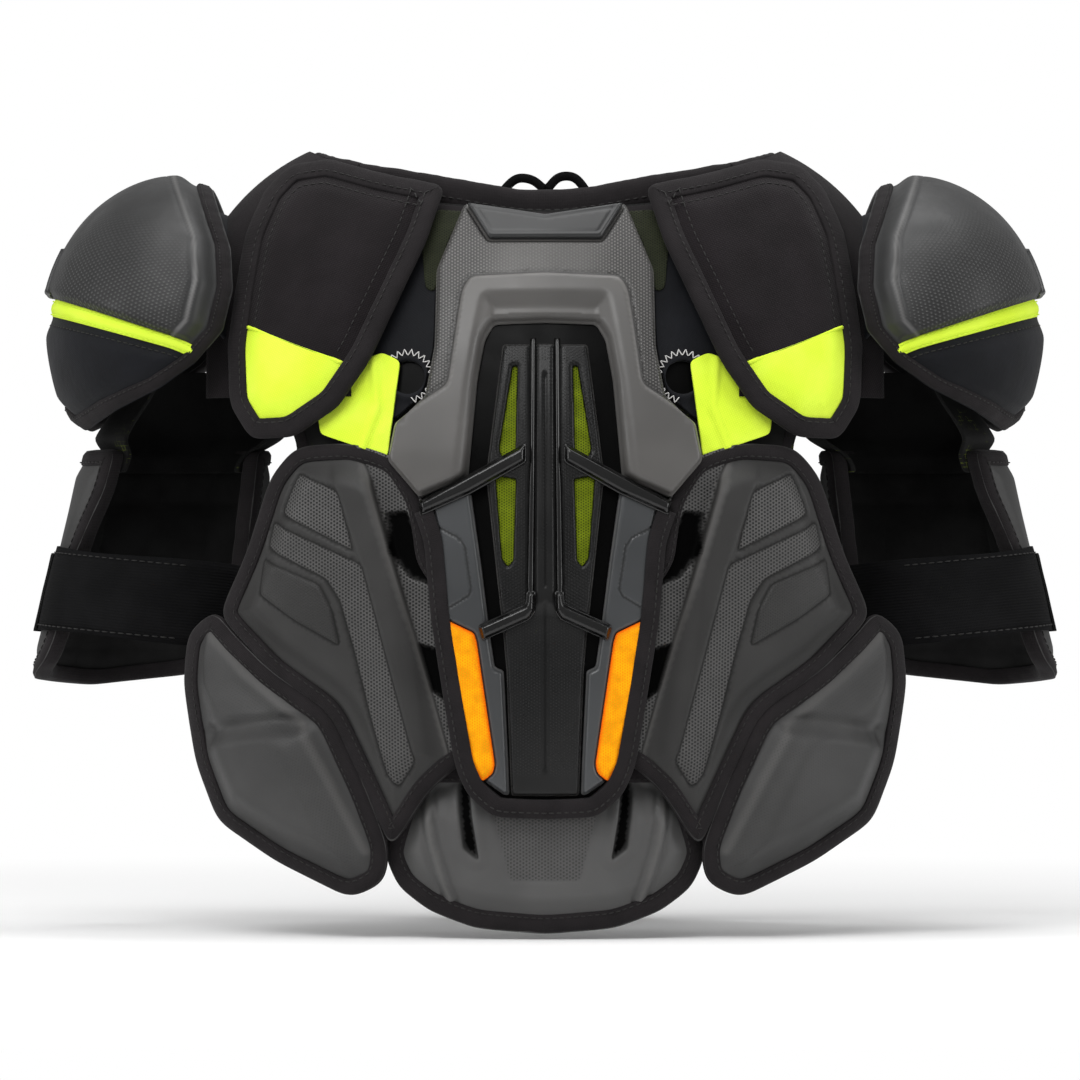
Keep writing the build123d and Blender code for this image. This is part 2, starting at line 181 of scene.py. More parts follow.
def resampled(points, step, closed=True):
    """The same line with a point every step mm."""
    line = np.array(points, float)
    if closed:
        line = np.vstack([line, line[:1]])
    along = run_of(line)
    count = max(int(round(along[-1] / step)), 8)
    at = np.linspace(0, along[-1], count, endpoint=not closed)
    return np.stack([np.interp(at, along, line[:, i]) for i in range(line.shape[1])], 1)


def easing(reach):
    """Neighbour steps within about reach points, and the weight of each."""
    furthest = 2 * int(math.ceil(reach))
    steps = np.arange(-furthest, furthest + 1)
    weights = np.exp(-0.5 * (steps / reach) ** 2)
    return list(zip(steps, weights / weights.sum()))


def eased(loop, reach):
    """A closed line with its corners eased over about reach points each way."""
    return sum(weight * np.roll(loop, step, axis=0) for step, weight in easing(reach))


def open_eased(line, reach):
    """An open line with its corners eased, its ends kept."""
    extra = 4 * int(math.ceil(reach))
    before = 2 * line[0] - line[extra:0:-1]
    after = 2 * line[-1] - line[-2:-extra - 2:-1]
    return eased(np.vstack([before, line, after]), reach)[extra:extra + len(line)]


def loop_of(points, soft=4.0, step=1.6):
    """A closed outline as a dense anticlockwise loop, its corners eased over about soft mm."""
    loop = eased(resampled(points, step), soft / step)
    x, z = loop[:, 0], loop[:, 1]
    area = np.sum(x * np.roll(z, -1) - np.roll(x, -1) * z)
    return loop if area > 0 else loop[::-1]


def inward(line, closed=True):
    """Unit vectors pointing into an anticlockwise loop, or to the left of an open line."""
    along = np.roll(line, -1, axis=0) - np.roll(line, 1, axis=0) if closed else np.gradient(line, axis=0)
    along /= np.maximum(np.linalg.norm(along, axis=1), 1e-9)[:, None]
    return np.stack([-along[:, 1], along[:, 0]], 1)


def inset(loop, amount):
    """A loop moved inwards, eased so that tight corners don't cross."""
    moved = loop + inward(loop) * amount
    return eased(moved, 1.2) if abs(amount) > EASED_BEYOND else moved


def distance(points, line, closed=True):
    """How far each point is from a line."""
    start = np.asarray(line, float)
    stop = np.roll(start, -1, axis=0) if closed else start[1:]
    start = start if closed else start[:-1]
    best = np.full(len(points), np.inf)
    for a, b in zip(start, stop):
        run = b - a
        t = np.clip((points - a) @ run / max(run @ run, 1e-12), 0, 1)
        best = np.minimum(best, np.linalg.norm(points - a - t[:, None] * run, axis=1))
    return best


def inside(points, loop):
    """True for the points inside a loop."""
    x, z = points[:, 0], points[:, 1]
    odd = np.zeros(len(points), bool)
    for (x0, z0), (x1, z1) in zip(loop, np.roll(loop, -1, axis=0)):
        if z0 == z1:
            continue
        crosses = (z0 > z) != (z1 > z)
        odd ^= crosses & (x < x0 + (z - z0) * (x1 - x0) / (z1 - z0))
    return odd


def depth_in(points, loop):
    """Distance inside a loop; negative outside."""
    loop = np.asarray(loop, float)
    return np.where(inside(points, loop), 1, -1) * distance(points, loop)


def side_of(points, line):
    """Signed distance from an open line: positive on its right as it runs."""
    line = np.asarray(line, float)
    best = np.full(len(points), 1e9)
    sign = np.ones(len(points))
    for a, b in zip(line[:-1], line[1:]):
        run = b - a
        t = np.clip((points - a) @ run / (run @ run), 0, 1)
        gap = points - a - t[:, None] * run
        away = np.linalg.norm(gap, axis=1)
        cross = run[0] * (points[:, 1] - a[1]) - run[1] * (points[:, 0] - a[0])
        closer = away < best - 1e-9
        best = np.where(closer, away, best)
        sign = np.where(closer, np.where(cross < 0, 1, -1), sign)
    return best * sign


def nearest_on(points, line):
    """The nearest place on an open line to each point."""
    best, found = np.full(len(points), np.inf), np.array(points)
    for a, b in zip(line[:-1], line[1:]):
        run = b - a
        t = np.clip((points - a) @ run / (run @ run), 0, 1)
        spot = a + t[:, None] * run
        gap = np.linalg.norm(points - spot, axis=1)
        found[gap < best] = spot[gap < best]
        best = np.minimum(best, gap)
    return found


def open_part(loop, start, stop):
    """The stretch of a loop from near one plan point to near another, anticlockwise."""
    first = int(np.argmin(np.linalg.norm(loop - np.array(start), axis=1)))
    last = int(np.argmin(np.linalg.norm(loop - np.array(stop), axis=1)))
    if last <= first:
        last += len(loop)
    return loop[np.arange(first, last + 1) % len(loop)]


def within(line, loop):
    """The points of a line that lie inside a loop."""
    return line[inside(line, loop)]


def longest_run(loop, chosen):
    """The longest stretch of neighbouring chosen points of a loop."""
    starts = np.where(chosen & ~np.roll(chosen, 1))[0]
    best = []
    for start in starts:
        order = (start + np.arange(len(loop))) % len(loop)
        length = int(np.argmin(chosen[order]))
        if length > len(best):
            best = order[:length]
    return loop[best]


def cut_loop(loop, line, keep_left):
    """The part of a loop on one side of an open line, closed along that line."""
    side = side_of(loop, line)
    kept = longest_run(loop, side < 0 if keep_left else side > 0)
    across = within(line, loop)
    if np.linalg.norm(across[0] - kept[-1]) > np.linalg.norm(across[-1] - kept[-1]):
        across = across[::-1]
    return loop_of(np.vstack([kept, across]), 0.6, 1.5)


def offset_open(line, amount):
    """An open line moved to its left by amount."""
    return line + inward(line, False) * amount


def flipped(points, sign):
    """Plan points for one side: as drawn for LEFT, mirrored for RIGHT."""
    return [(sign * x, z) for x, z in points]


def mirrored_loops(points, soft, step):
    """The left and the right loop of one outline."""
    return [loop_of(flipped(points, sign), soft, step) for sign in (LEFT, RIGHT)]


def circle(centre, radius, step=1.2):
    count = max(12, int(2 * math.pi * radius / step))
    turn = np.linspace(0, 2 * math.pi, count, endpoint=False)
    return np.stack([centre[0] + radius * np.cos(turn), centre[1] + radius * np.sin(turn)], 1)


def smooth(value, low, high):
    """0 below low, 1 above high, eased in between."""
    t = np.clip((value - low) / (high - low), 0, 1)
    return t * t * (3 - 2 * t)


def wander(points, scale, seed=0.0):
    """Smooth unevenness between about -1 and 1, the same every run."""
    x, z = points[:, 0] / scale, points[:, 1] / scale
    total = np.sin(1.7 * x + 0.6 * z + seed) + np.sin(-0.8 * x + 1.9 * z + 2.1 * seed + 1)
    total += 0.6 * np.sin(3.1 * x - 2.3 * z + 1.3 * seed) + 0.6 * np.sin(2.2 * x + 3.4 * z + seed)
    return total / 3.2


def quilted(plan, across, up, shift=0.0):
    """0 on the sewn lines of a quilt, 1 in the middle of each pocket."""
    waves = np.sin(math.pi * plan[:, 0] / across) * np.sin(math.pi * (plan[:, 1] + shift) / up)
    return np.sqrt(np.abs(waves))


def domed(loop, edge, rise, run):
    """A top that climbs from edge by rise over the first run mm inside a loop."""
    return lambda plan: edge + rise * smooth(distance(plan, loop), 0, run)


# ---------------------------------------------------------------- mesh building
def plan_triangles(loop, holes=(), step=1.6, rings=(0.5, 1.4), features=()):
    """Triangles that fill a loop, with rows of points beside its edge and along features."""
    rows = [loop] + [np.asarray(hole, float) for hole in holes]
    rows += [resampled(inset(loop, d), step) for d in rings]
    edge_rows = len(holes) + 1
    rows += [np.asarray(feature, float) for feature in features]
    low, high = loop.min(0), loop.max(0)
    row_height = step * math.sqrt(3) / 2
    nearest = 0.55 * step
    grid = []
    for i, up in enumerate(np.arange(low[1], high[1], row_height)):
        across = np.arange(low[0] + (i % 2) * step / 2, high[0], step)
        grid.append(np.stack([across, np.full(len(across), up)], 1))
    grid = within(np.vstack(grid), loop)
    for line in rows:
        grid = grid[distance(grid, line) > nearest]
    core = inset(loop, 0.15)
    loose = [within(row, core) for row in rows[edge_rows:]]
    points = np.vstack(rows[:edge_rows] + loose + [grid])
    edges, base = [], 0
    for row in rows[:edge_rows]:
        count = len(row)
        edges += [(base + i, base + (i + 1) % count) for i in range(count)]
        base += count
    made = delaunay_2d_cdt([Vector(p) for p in points], edges, [], 0, 1e-4)
    flat = np.array([tuple(v) for v in made[0]])
    tris = np.array(made[2])
    middle = flat[tris].mean(1)
    keep = inside(middle, loop)
    for hole in holes:
        keep &= ~inside(middle, np.asarray(hole, float))
    tris = tris[keep]
    used, tris = np.unique(tris, return_inverse=True)
    return flat[used], tris.reshape(-1, 3)


def border(tris):
    """Directed edges that belong to one triangle only."""
    # a dictionary keeps the edges in the order they are met, the same every run
    seen = {edge: True for a, b, c in tris.tolist() for edge in ((a, b), (b, c), (c, a))}
    return np.array([e for e in seen if (e[1], e[0]) not in seen])


ARC_X = np.linspace(0, FORM_HALF_WIDTH + 7, 400)
ARC_Y = (FORM_HALF_DEPTH + PANEL_TOP) * np.sqrt(1 - (ARC_X / (FORM_HALF_WIDTH + PANEL_TOP)) ** 2)
ARC_LENGTH = run_of(np.column_stack([ARC_X, ARC_Y]))


def cloth_plan(plan):
    """Plan points with x stretched to the distance measured along the chest."""
    x = np.sign(plan[:, 0]) * np.interp(np.abs(plan[:, 0]), ARC_X, ARC_LENGTH)
    return np.stack([x, plan[:, 1]], 1)


def new_piece(name, points, faces, uv=None, paint=None):
    """A mesh object from points in mm, with its plan as a UV map and painted masks."""
    mesh = bpy.data.meshes.new(name)
    mesh.from_pydata((np.asarray(points) * MM).tolist(), [], [list(map(int, f)) for f in faces])
    mesh.validate()
    if uv is not None:
        layer = mesh.uv_layers.new(name="plan")
        index = np.zeros(len(mesh.loops), int)
        mesh.loops.foreach_get("vertex_index", index)
        layer.data.foreach_set("uv", np.asarray(uv, np.float32)[index].ravel())
    for key, values in (paint or {}).items():
        attribute = mesh.attributes.new(key, "FLOAT", "POINT")
        attribute.data.foreach_set("value", np.asarray(values, np.float32))
    mesh.polygons.foreach_set("use_smooth", [True] * len(mesh.polygons))
    piece = bpy.data.objects.new(name, mesh)
    bpy.context.scene.collection.objects.link(piece)
    return piece


WALL_ROWS = 3              # faces up the side wall of a pad


def pad(name, loop, surface, top, bottom, step=1.6, holes=(), rings=(0.5, 1.4, 3.0), features=(), paint=None):
    """A closed pad: a relief top, a plain underside and a wall round every edge."""
    plan, tris = plan_triangles(loop, holes, step, rings, features)
    count = len(plan)
    high, low = (level(plan) if callable(level) else np.full(count, float(level)) for level in (top, bottom))
    points = [surface(plan, high), surface(plan, low)]
    shown = cloth_plan(plan) if surface in (torso, torso_back) else plan
    uv = [shown, shown]
    # the top faces away from the underside, whichever way the surface turns the plan
    upper, lower = (side[tris] for side in points)
    facing = np.cross(upper[:, 1] - upper[:, 0], upper[:, 2] - upper[:, 0])
    if (facing * (upper - lower).mean(1)).sum() < 0:
        tris = tris[:, ::-1]
    faces = tris.tolist() + (tris[:, ::-1] + count).tolist()
    edges = border(tris)
    ends = np.unique(edges)
    levels = [{int(end): int(end) for end in ends}]
    for row in range(1, WALL_ROWS):
        share = row / WALL_ROWS
        base = 2 * count + (row - 1) * len(ends)
        points.append(surface(plan[ends], high[ends] * (1 - share) + low[ends] * share))
        uv.append(shown[ends])
        levels.append({int(end): base + i for i, end in enumerate(ends)})
    levels.append({int(end): int(end) + count for end in ends})
    for upper, lower in zip(levels, levels[1:]):
        faces += [(upper[b], upper[a], lower[a], lower[b]) for a, b in edges.tolist()]
    masks = {}
    for key, values in (paint(plan) if paint else {}).items():
        masks[key] = np.concatenate([values, np.zeros(count)] + [values[ends]] * (WALL_ROWS - 1))
    return new_piece(name, np.vstack(points), faces, np.vstack(uv), masks)


def tube_faces(count, around, closed):
    """The faces of a tube of count rings, each of around points. An open one has its ends filled."""
    faces = []
    for i in range(count if closed else count - 1):
        here, ahead = i * around, (i + 1) % count * around
        for j in range(around):
            beside = (j + 1) % around
            faces.append((here + j, ahead + j, ahead + beside, here + beside))
    if not closed:
        faces.append(tuple(range(around)))
        faces.append(tuple(range(count * around - 1, (count - 1) * around - 1, -1)))
    return faces


def tube(name, rings, closed, uv=None):
    """A tube through rings of points, each ring an array over the tube's length."""
    points = np.stack(rings, 1)
    piece = new_piece(name, points.reshape(-1, 3), tube_faces(*points.shape[:2], closed), uv)
    fix_normals(piece)
    return piece


def sweep(name, path, section, surface, closed=True, ripple=0.0, seed=0.0):
    """A band laid along a plan path. section lists (distance inwards, offset k) round its profile."""
    path = np.asarray(path, float)
    into = inward(path, closed)
    count, around = len(path), len(section)
    rings = []
    waves = wander(path, 7.0, seed) * ripple
    for d, k in section:
        moved = path + into * d
        if closed and abs(d) > EASED_BEYOND:
            moved = eased(moved, 1.2)
        rings.append(surface(moved, np.full(count, float(k)) + waves))
    profile = run_of(np.array(section, float))
    uv = np.stack([np.repeat(run_of(path), around), np.tile(profile, count)], 1)
    return tube(name, rings, closed, uv)


def fix_normals(piece):
    """Turns every face outwards."""
    work = bmesh.new()
    work.from_mesh(piece.data)
    bmesh.ops.recalc_face_normals(work, faces=work.faces)
    work.to_mesh(piece.data)
    work.free()


def tape_section(width, top, bottom, proud=1.1):
    """The profile of a tape folded over an edge that lies between two offsets."""
    middle = (top + bottom) / 2
    return [
        (width, top - 1.2), (width, top + 0.35), (width - 0.6, top + proud * 0.8),
        (width * 0.62, top + proud), (width * 0.3, top + proud * 0.9), (0.9, top + 0.1),
        (-0.1, top - 1.0), (-0.6, middle), (-0.1, bottom + 1.0), (0.9, bottom - 0.1),
        (width * 0.4, bottom - proud * 0.5), (width - 0.6, bottom - proud * 0.4),
        (width, bottom + 0.2), (width, bottom + 0.8),
    ]


THREAD_SIDES = 6
# along a stitch: share of its length, share of its radius, how far it lifts
STITCH_ROWS = [(-0.05, 0.25, -0.5), (0.12, 0.85, 0.1), (0.5, 1.0, 0.4), (0.88, 0.85, 0.1), (1.05, 0.25, -0.5)]


def stitches(name, path, surface, k, closed=True, length=2.7, pitch=4.0, radius=0.38):
    """A row of thread stitches along a plan path."""
    path = resampled(path, pitch, closed)
    nexts = np.roll(path, -1, axis=0) if closed else path[1:]
    path = path if closed else path[:-1]
    heights = np.full(len(path), float(k)) if np.isscalar(k) else k(path)
    run = nexts - path
    run /= np.maximum(np.linalg.norm(run, axis=1), 1e-9)[:, None]
    start = surface(path, heights)
    stop = surface(path + run * length, heights)
    up = surface(path, heights + 1.0) - start
    along = stop - start
    size = np.linalg.norm(along, axis=1)[:, None]
    along /= np.maximum(size, 1e-9)
    across = np.cross(along, up)
    across /= np.maximum(np.linalg.norm(across, axis=1), 1e-9)[:, None]
    points = []
    for t, wide, lift in STITCH_ROWS:
        for turn in np.arange(THREAD_SIDES) * 2 * math.pi / THREAD_SIDES:
            ring = across * math.cos(turn) + up * math.sin(turn)
            points.append(start + along * size * t + ring * radius * wide + up * radius * lift)
    points = np.stack(points, 1)
    each = points.shape[1]
    template = tube_faces(len(STITCH_ROWS), THREAD_SIDES, closed=False)
    faces = [[i * each + v for v in face] for i in range(len(points)) for face in template]
    piece = new_piece(name, points.reshape(-1, 3), faces)
    fix_normals(piece)
    return piece


def thread_line(name, points, surface, k, radius):
    """A round thread laid along a plan line with sharp turns."""
    line = resampled(points, 0.9, False)
    centre = surface(line, np.full(len(line), k))
    up = surface(line, np.full(len(line), k + 1.0)) - centre
    along = np.gradient(centre, axis=0)
    across = np.cross(along, up)
    across /= np.linalg.norm(across, axis=1)[:, None]
    turns = np.arange(THREAD_SIDES) * 2 * math.pi / THREAD_SIDES
    rings = [centre + radius * (across * math.cos(turn) + up * math.sin(turn)) for turn in turns]
    return tube(name, rings, closed=False)


def vertices_of(piece):
    co = np.zeros(len(piece.data.vertices) * 3)
    piece.data.vertices.foreach_get("co", co)
    return co.reshape(-1, 3) / MM


def mirror_piece(piece, name):
    """The same piece on the wearer's other side."""
    mesh = piece.data.copy()
    mesh.name = name
    co = np.zeros(len(mesh.vertices) * 3)
    mesh.vertices.foreach_get("co", co)
    co = co.reshape(-1, 3)
    co[:, 0] *= -1
    mesh.vertices.foreach_set("co", co.ravel())
    mesh.flip_normals()
    twin = bpy.data.objects.new(name, mesh)
    bpy.context.scene.collection.objects.link(twin)
    return twin


def dress(piece, body, node, material):
    """Puts a piece on its body, gives it a material and hides the CAD node it stands for."""
    piece.data.materials.clear()
    piece.data.materials.append(material)
    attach(piece, body)
    if node:
        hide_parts(node)
    return piece


def pair_of(piece):
    """A left piece and its mirror image, each with its side's name and sign."""
    twin = mirror_piece(piece, f"{piece.name}_right")
    piece.name = f"{piece.name}_left"
    return ((piece, "left", LEFT), (twin, "right", RIGHT))


def dress_pair(piece, body, node, material):
    """A left piece and its mirror image, each on its own side's body and node."""
    for item, side, _ in pair_of(piece):
        own_node = node.replace("SIDE", side) if node else None
        dress(item, body.replace("SIDE", side), own_node, material)


def blend_pair(piece, material, node=None):
    """A left piece and its mirror image, each given a material and its transform baked; the CAD node named,
    if any, is hidden.
    """
    for item, side, sign in pair_of(piece):
        item.data.materials.append(material)
        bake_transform(item)
        if node:
            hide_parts(node.replace("SIDE", side))


# ---------------------------------------------------------------- materials
class Shader:
    """A node material under construction. Lengths in its patterns are millimetres of plan."""

    def __init__(self, name):
        self.material = bpy.data.materials.new(name)
        self.material.use_nodes = True
        self.tree = self.material.node_tree
        self.surface = self.tree.nodes["Principled BSDF"]
        self.bumps = None
        self.plan = None

    def node(self, kind, *values, **settings):
        """A node with its settings and its first inputs filled in."""
        made = self.tree.nodes.new("ShaderNode" + kind)
        for key, value in settings.items():
            setattr(made, key, value)
        for i, value in enumerate(values):
            if value is not None:
                self.feed(made.inputs[i], value)
        return made

    def feed(self, socket, value):
        if isinstance(value, bpy.types.NodeSocket):
            self.tree.links.new(value, socket)
        else:
            socket.default_value = value

    def math(self, operation, a, b=None, c=None):
        return self.node("Math", a, b, c, operation=operation).outputs[0]

    def times(self, a, b):
        return self.math("MULTIPLY", a, b)

    def but_not(self, a, b):
        """a where b is 0, fading to 0 where b is 1."""
        return self.times(a, self.math("SUBTRACT", 1.0, b))

    def span(self, value, low, high, out_low=0.0, out_high=1.0):
        """A value mapped from low..high to out_low..out_high and held at the ends."""
        made = self.node("MapRange", value, low, high, out_low, out_high, interpolation_type="SMOOTHSTEP")
        return made.outputs[0]

    def mix(self, factor, a, b):
        made = self.node("Mix", data_type="RGBA")
        self.feed(made.inputs[0], factor)
        self.feed(made.inputs[6], a)
        self.feed(made.inputs[7], b)
        return made.outputs[2]

    def clouded(self, scale, a, b, detail=2.0):
        """A colour that drifts from a to b over patches about scale mm across."""
        return self.mix(self.span(self.noise(scale, detail), 0.3, 0.7), a, b)

    def mask(self, name):
        return self.node("Attribute", attribute_name=name).outputs["Fac"]

    def place(self):
        """Plan u and v in millimetres."""
        if self.plan is None:
            uv = self.node("UVMap", uv_map="plan").outputs[0]
            self.plan = self.node("SeparateXYZ", uv).outputs[:2]
        return self.plan

    def space(self):
        """Object position in millimetres."""
        coords = self.node("TexCoord").outputs["Object"]
        return self.node("VectorMath", coords, (1000.0, 1000.0, 1000.0), operation="MULTIPLY").outputs[0]

    def noise(self, scale, detail=3.0):
        """Noise with features about scale mm across."""
        made = self.node("TexNoise", self.space())
        made.inputs["Scale"].default_value = 1.0 / scale
        made.inputs["Detail"].default_value = detail
        return made.outputs["Fac"]

    def hexagons(self, pitch):
        """0 on the walls of a honeycomb, 1 in the middle of each cell."""
        u, v = self.place()
        k = 4 * math.pi / (math.sqrt(3) * pitch)
        total = None
        for turn in (0, 60, 120):
            c, s = math.cos(math.radians(turn)) * k, math.sin(math.radians(turn)) * k
            phase = self.math("MULTIPLY_ADD", u, c, self.times(v, s))
            wave = self.math("COSINE", phase)
            total = wave if total is None else self.math("ADD", total, wave)
        # the three waves add up to -1.5 on the walls and 3 in the middle
        return self.math("MULTIPLY_ADD", total, 1 / 4.5, 1.5 / 4.5)

    def rows(self, pitch, across=False, lean=0.0):
        """A wave from 0 to 1 along v, or across it."""
        u, v = self.place()
        along = u if across else v
        other = v if across else u
        phase = self.math("MULTIPLY_ADD", other, lean, along)
        wave = self.math("SINE", self.times(phase, 2 * math.pi / pitch))
        return self.math("MULTIPLY_ADD", wave, 0.5, 0.5)

    def bump(self, height, depth):
        """Adds relief depth mm deep."""
        made = self.node("Bump")
        made.inputs["Strength"].default_value = 1.0
        made.inputs["Distance"].default_value = depth * MM
        self.feed(made.inputs["Height"], height)
        if self.bumps is not None:
            self.feed(made.inputs["Normal"], self.bumps)
        self.bumps = made.outputs[0]

    def done(self, colour, roughness, sheen=0.0, specular=0.5, coat=0.0):
        self.feed(self.surface.inputs["Base Color"], colour)
        self.feed(self.surface.inputs["Roughness"], roughness)
        self.surface.inputs["Sheen Weight"].default_value = sheen
        self.surface.inputs["Sheen Roughness"].default_value = 0.5
        self.feed(self.surface.inputs["Specular IOR Level"], specular)
        self.surface.inputs["Coat Weight"].default_value = coat
        if self.bumps is not None:
            self.feed(self.surface.inputs["Normal"], self.bumps)
        return self.material


def grey(value, warm=0.0):
    """An almost neutral colour, slightly warm when warm is above 0 and cool below."""
    return (value * (1 + warm), value, value * (1 - warm), 1.0)


def scaled(colour, amount):
    """A brighter or darker version of a colour."""
    return tuple(min(1.0, amount * c) for c in colour[:3]) + (1.0,)


MESH_PITCH = 2.0


def foam(name, colour, light):
    """Moulded foam skin: fine grain, honeycomb mesh, embossed dots and black slots by mask."""
    s = Shader(name)
    grain = s.noise(0.55, 2.0)
    base = s.clouded(38.0, colour, light)
    # lighter grey on edges and crests by mask: wear and a painted highlight
    base = s.mix(s.times(s.mask("worn"), 0.5), base, grey(0.16, 0.04))
    cells = s.hexagons(MESH_PITCH)
    threads = s.span(cells, 0.62, 0.3)
    mesh = s.mask("mesh")
    thread_colour = s.mix(s.noise(9.0), grey(0.05, 0.02), grey(0.085, 0.02))
    netted = s.mix(threads, grey(0.004), thread_colour)
    base = s.mix(mesh, base, netted)
    dots = s.mask("dots")
    fine = s.hexagons(1.6)
    pricks = s.span(fine, 0.75, 0.45)
    base = s.mix(s.but_not(dots, pricks), base, grey(0.012))
    base = s.mix(s.mask("slot"), base, grey(0.0012))
    s.bump(grain, 0.05)
    s.bump(s.times(threads, mesh), 0.5)
    s.bump(s.times(pricks, dots), 0.3)
    rough = s.span(grain, 0.2, 0.8, 0.48, 0.64)
    return s.done(base, rough, specular=s.math("MULTIPLY_ADD", s.mask("slot"), -0.33, 0.35))


def scaled_foam(name, colour, light):
    """Cap foam with a raised scale pattern that fades out by mask."""
    s = Shader(name)
    base = s.clouded(45.0, colour, light)
    cells = s.hexagons(2.7)
    raised = s.span(cells, 0.25, 0.6)
    faded = s.mask("dots")
    base = s.mix(s.but_not(faded, raised), base, grey(0.009))
    base = s.mix(s.times(faded, s.span(cells, 0.7, 0.95)), base, grey(0.085))
    # lighter grey along the masked lip: wear and a painted highlight
    base = s.mix(s.times(s.mask("worn"), 0.6), base, grey(0.2, 0.02))
    s.bump(s.noise(0.55, 2.0), 0.05)
    s.bump(s.times(raised, faded), 0.45)
    rough = s.span(s.noise(12.0), 0.3, 0.7, 0.42, 0.55)
    return s.done(base, rough, specular=0.4)


def plastic(name, colour, light, rough=0.42, shine=0.5):
    """Hard moulded plastic with a scale texture and dots where masked."""
    s = Shader(name)
    shade = scaled(colour, 0.35)
    bright = scaled(light, 1.7)
    base = s.mix(s.span(s.noise(60.0, 2.0), 0.35, 0.65), colour, light)
    scales = s.mask("scales")
    cells = s.hexagons(1.8)
    raised = s.span(cells, 0.25, 0.55)
    base = s.mix(s.but_not(scales, raised), base, shade)
    base = s.mix(s.times(scales, s.span(cells, 0.7, 0.95)), base, bright)
    dots = s.mask("dots")
    pips = s.span(s.hexagons(1.7), 0.55, 0.85)
    base = s.mix(s.times(dots, pips), base, bright)
    base = s.mix(s.mask("slot"), base, grey(0.004))
    # lighter grey on rims and crests by mask: wear and a painted highlight
    base = s.mix(s.times(s.mask("worn"), 0.7), base, grey(0.3, 0.03))
    s.bump(s.noise(0.4, 2.0), 0.03)
    s.bump(s.times(raised, scales), 0.4)
    s.bump(s.times(pips, dots), 0.3)
    roughness = s.span(s.noise(25.0, 4.0), 0.3, 0.7, rough - 0.05, rough + 0.06)
    return s.done(base, roughness, specular=shine)


def gloss(name):
    """Smooth black plastic with faint smears."""
    s = Shader(name)
    s.bump(s.noise(3.0, 2.0), 0.03)
    return s.done(grey(0.003), s.span(s.noise(14.0, 4.0), 0.3, 0.7, 0.1, 0.22), specular=0.4, coat=0.12)


def recess(name):
    """The black plastic deep in the sternum guard, which takes little light."""
    s = Shader(name)
    s.bump(s.noise(0.6, 2.0), 0.02)
    return s.done(grey(0.0015), s.span(s.noise(20.0), 0.3, 0.7, 0.26, 0.38), specular=0.05)


def edge_tape(name, colour):
    """Woven edge tape: fine cross ribs, lint and a slight sheen."""
    s = Shader(name)
    ribs = s.rows(0.9, across=True)
    lines = s.rows(1.3)
    weave = s.times(ribs, s.math("MULTIPLY_ADD", lines, 0.5, 0.5))
    base = s.clouded(18.0, colour, scaled(colour, 1.5), 3.0)
    base = s.mix(s.times(weave, 0.35), base, scaled(colour, 1.9))
    s.bump(s.noise(5.0, 3.0), 0.35)
    s.bump(weave, 0.12)
    return s.done(base, 0.85, sheen=0.04, specular=0.15)


def knit(name, colour, light, pitch=1.5, depth=0.16, rough=0.85, sheen=0.05):
    """Fine knit: columns of slanted stitches with soft unevenness."""
    s = Shader(name)
    one = s.rows(pitch, across=True, lean=0.5)
    two = s.rows(pitch * 0.8, lean=0.35)
    loops = s.times(one, two)
    base = s.clouded(26.0, colour, light, 3.0)
    base = s.mix(s.times(loops, 0.5), base, scaled(light, 1.35))
    s.bump(s.noise(7.0, 3.0), 0.25)
    s.bump(loops, depth)
    return s.done(base, rough, sheen=sheen, specular=0.12)


def mesh_cloth(name, colour, hole, depth=0.3, sheen=0.03):
    """Open mesh cloth: coloured threads round small dark holes."""
    s = Shader(name)
    threads = s.span(s.hexagons(1.5), 0.8, 0.45)
    tint = s.clouded(6.0, colour, scaled(colour, 0.75), 3.0)
    # by the edge mask the cloth turns darker and redder at its rim: wear and painted shade
    edge = s.mix(s.mask("worn"), tint, (colour[0], colour[1] * 0.35, colour[2] * 0.3, 1.0))
    base = s.mix(threads, hole, edge)
    s.bump(threads, depth)
    return s.done(base, 0.75, sheen=sheen, specular=0.12)


def webbing(name, colour):
    """Ribbed elastic webbing."""
    s = Shader(name)
    ribs = s.rows(1.4)
    picks = s.rows(0.8, across=True)
    weave = s.times(ribs, s.math("MULTIPLY_ADD", picks, 0.4, 0.6))
    base = s.clouded(20.0, colour, scaled(colour, 1.4), 3.0)
    s.bump(s.noise(9.0, 2.0), 0.2)
    s.bump(weave, 0.22)
    return s.done(base, 0.85, sheen=0.01, specular=0.05)


def printed_liner(name):
    """Brushed black liner with a faint crosshatch print in patches."""
    s = Shader(name)
    up = s.span(s.math("ABSOLUTE", s.math("SUBTRACT", s.rows(4.6), 0.5)), 0.08, 0.02)
    over = s.span(s.math("ABSOLUTE", s.math("SUBTRACT", s.rows(4.6, across=True), 0.5)), 0.08, 0.02)
    hatch = s.math("MAXIMUM", up, over)
    patches = s.span(s.noise(24.0, 4.0), 0.54, 0.66)
    fleck = s.span(s.noise(4.0, 2.0), 0.45, 0.6)
    ink = s.times(s.times(hatch, patches), fleck)
    ink = s.times(ink, s.mask("print"))
    base = s.clouded(30.0, grey(0.006), grey(0.013), 3.0)
    base = s.mix(s.times(ink, 0.8), base, (0.26, 0.33, 0.03, 1.0))
    s.bump(s.noise(0.9, 3.0), 0.12)
    s.bump(s.noise(16.0, 2.0), 0.5)
    return s.done(base, 0.9, sheen=0.02, specular=0.12)


def thread(name, colour):
    s = Shader(name)
    s.bump(s.noise(0.5, 2.0), 0.05)
    return s.done(colour, 0.65, sheen=0.03, specular=0.3)


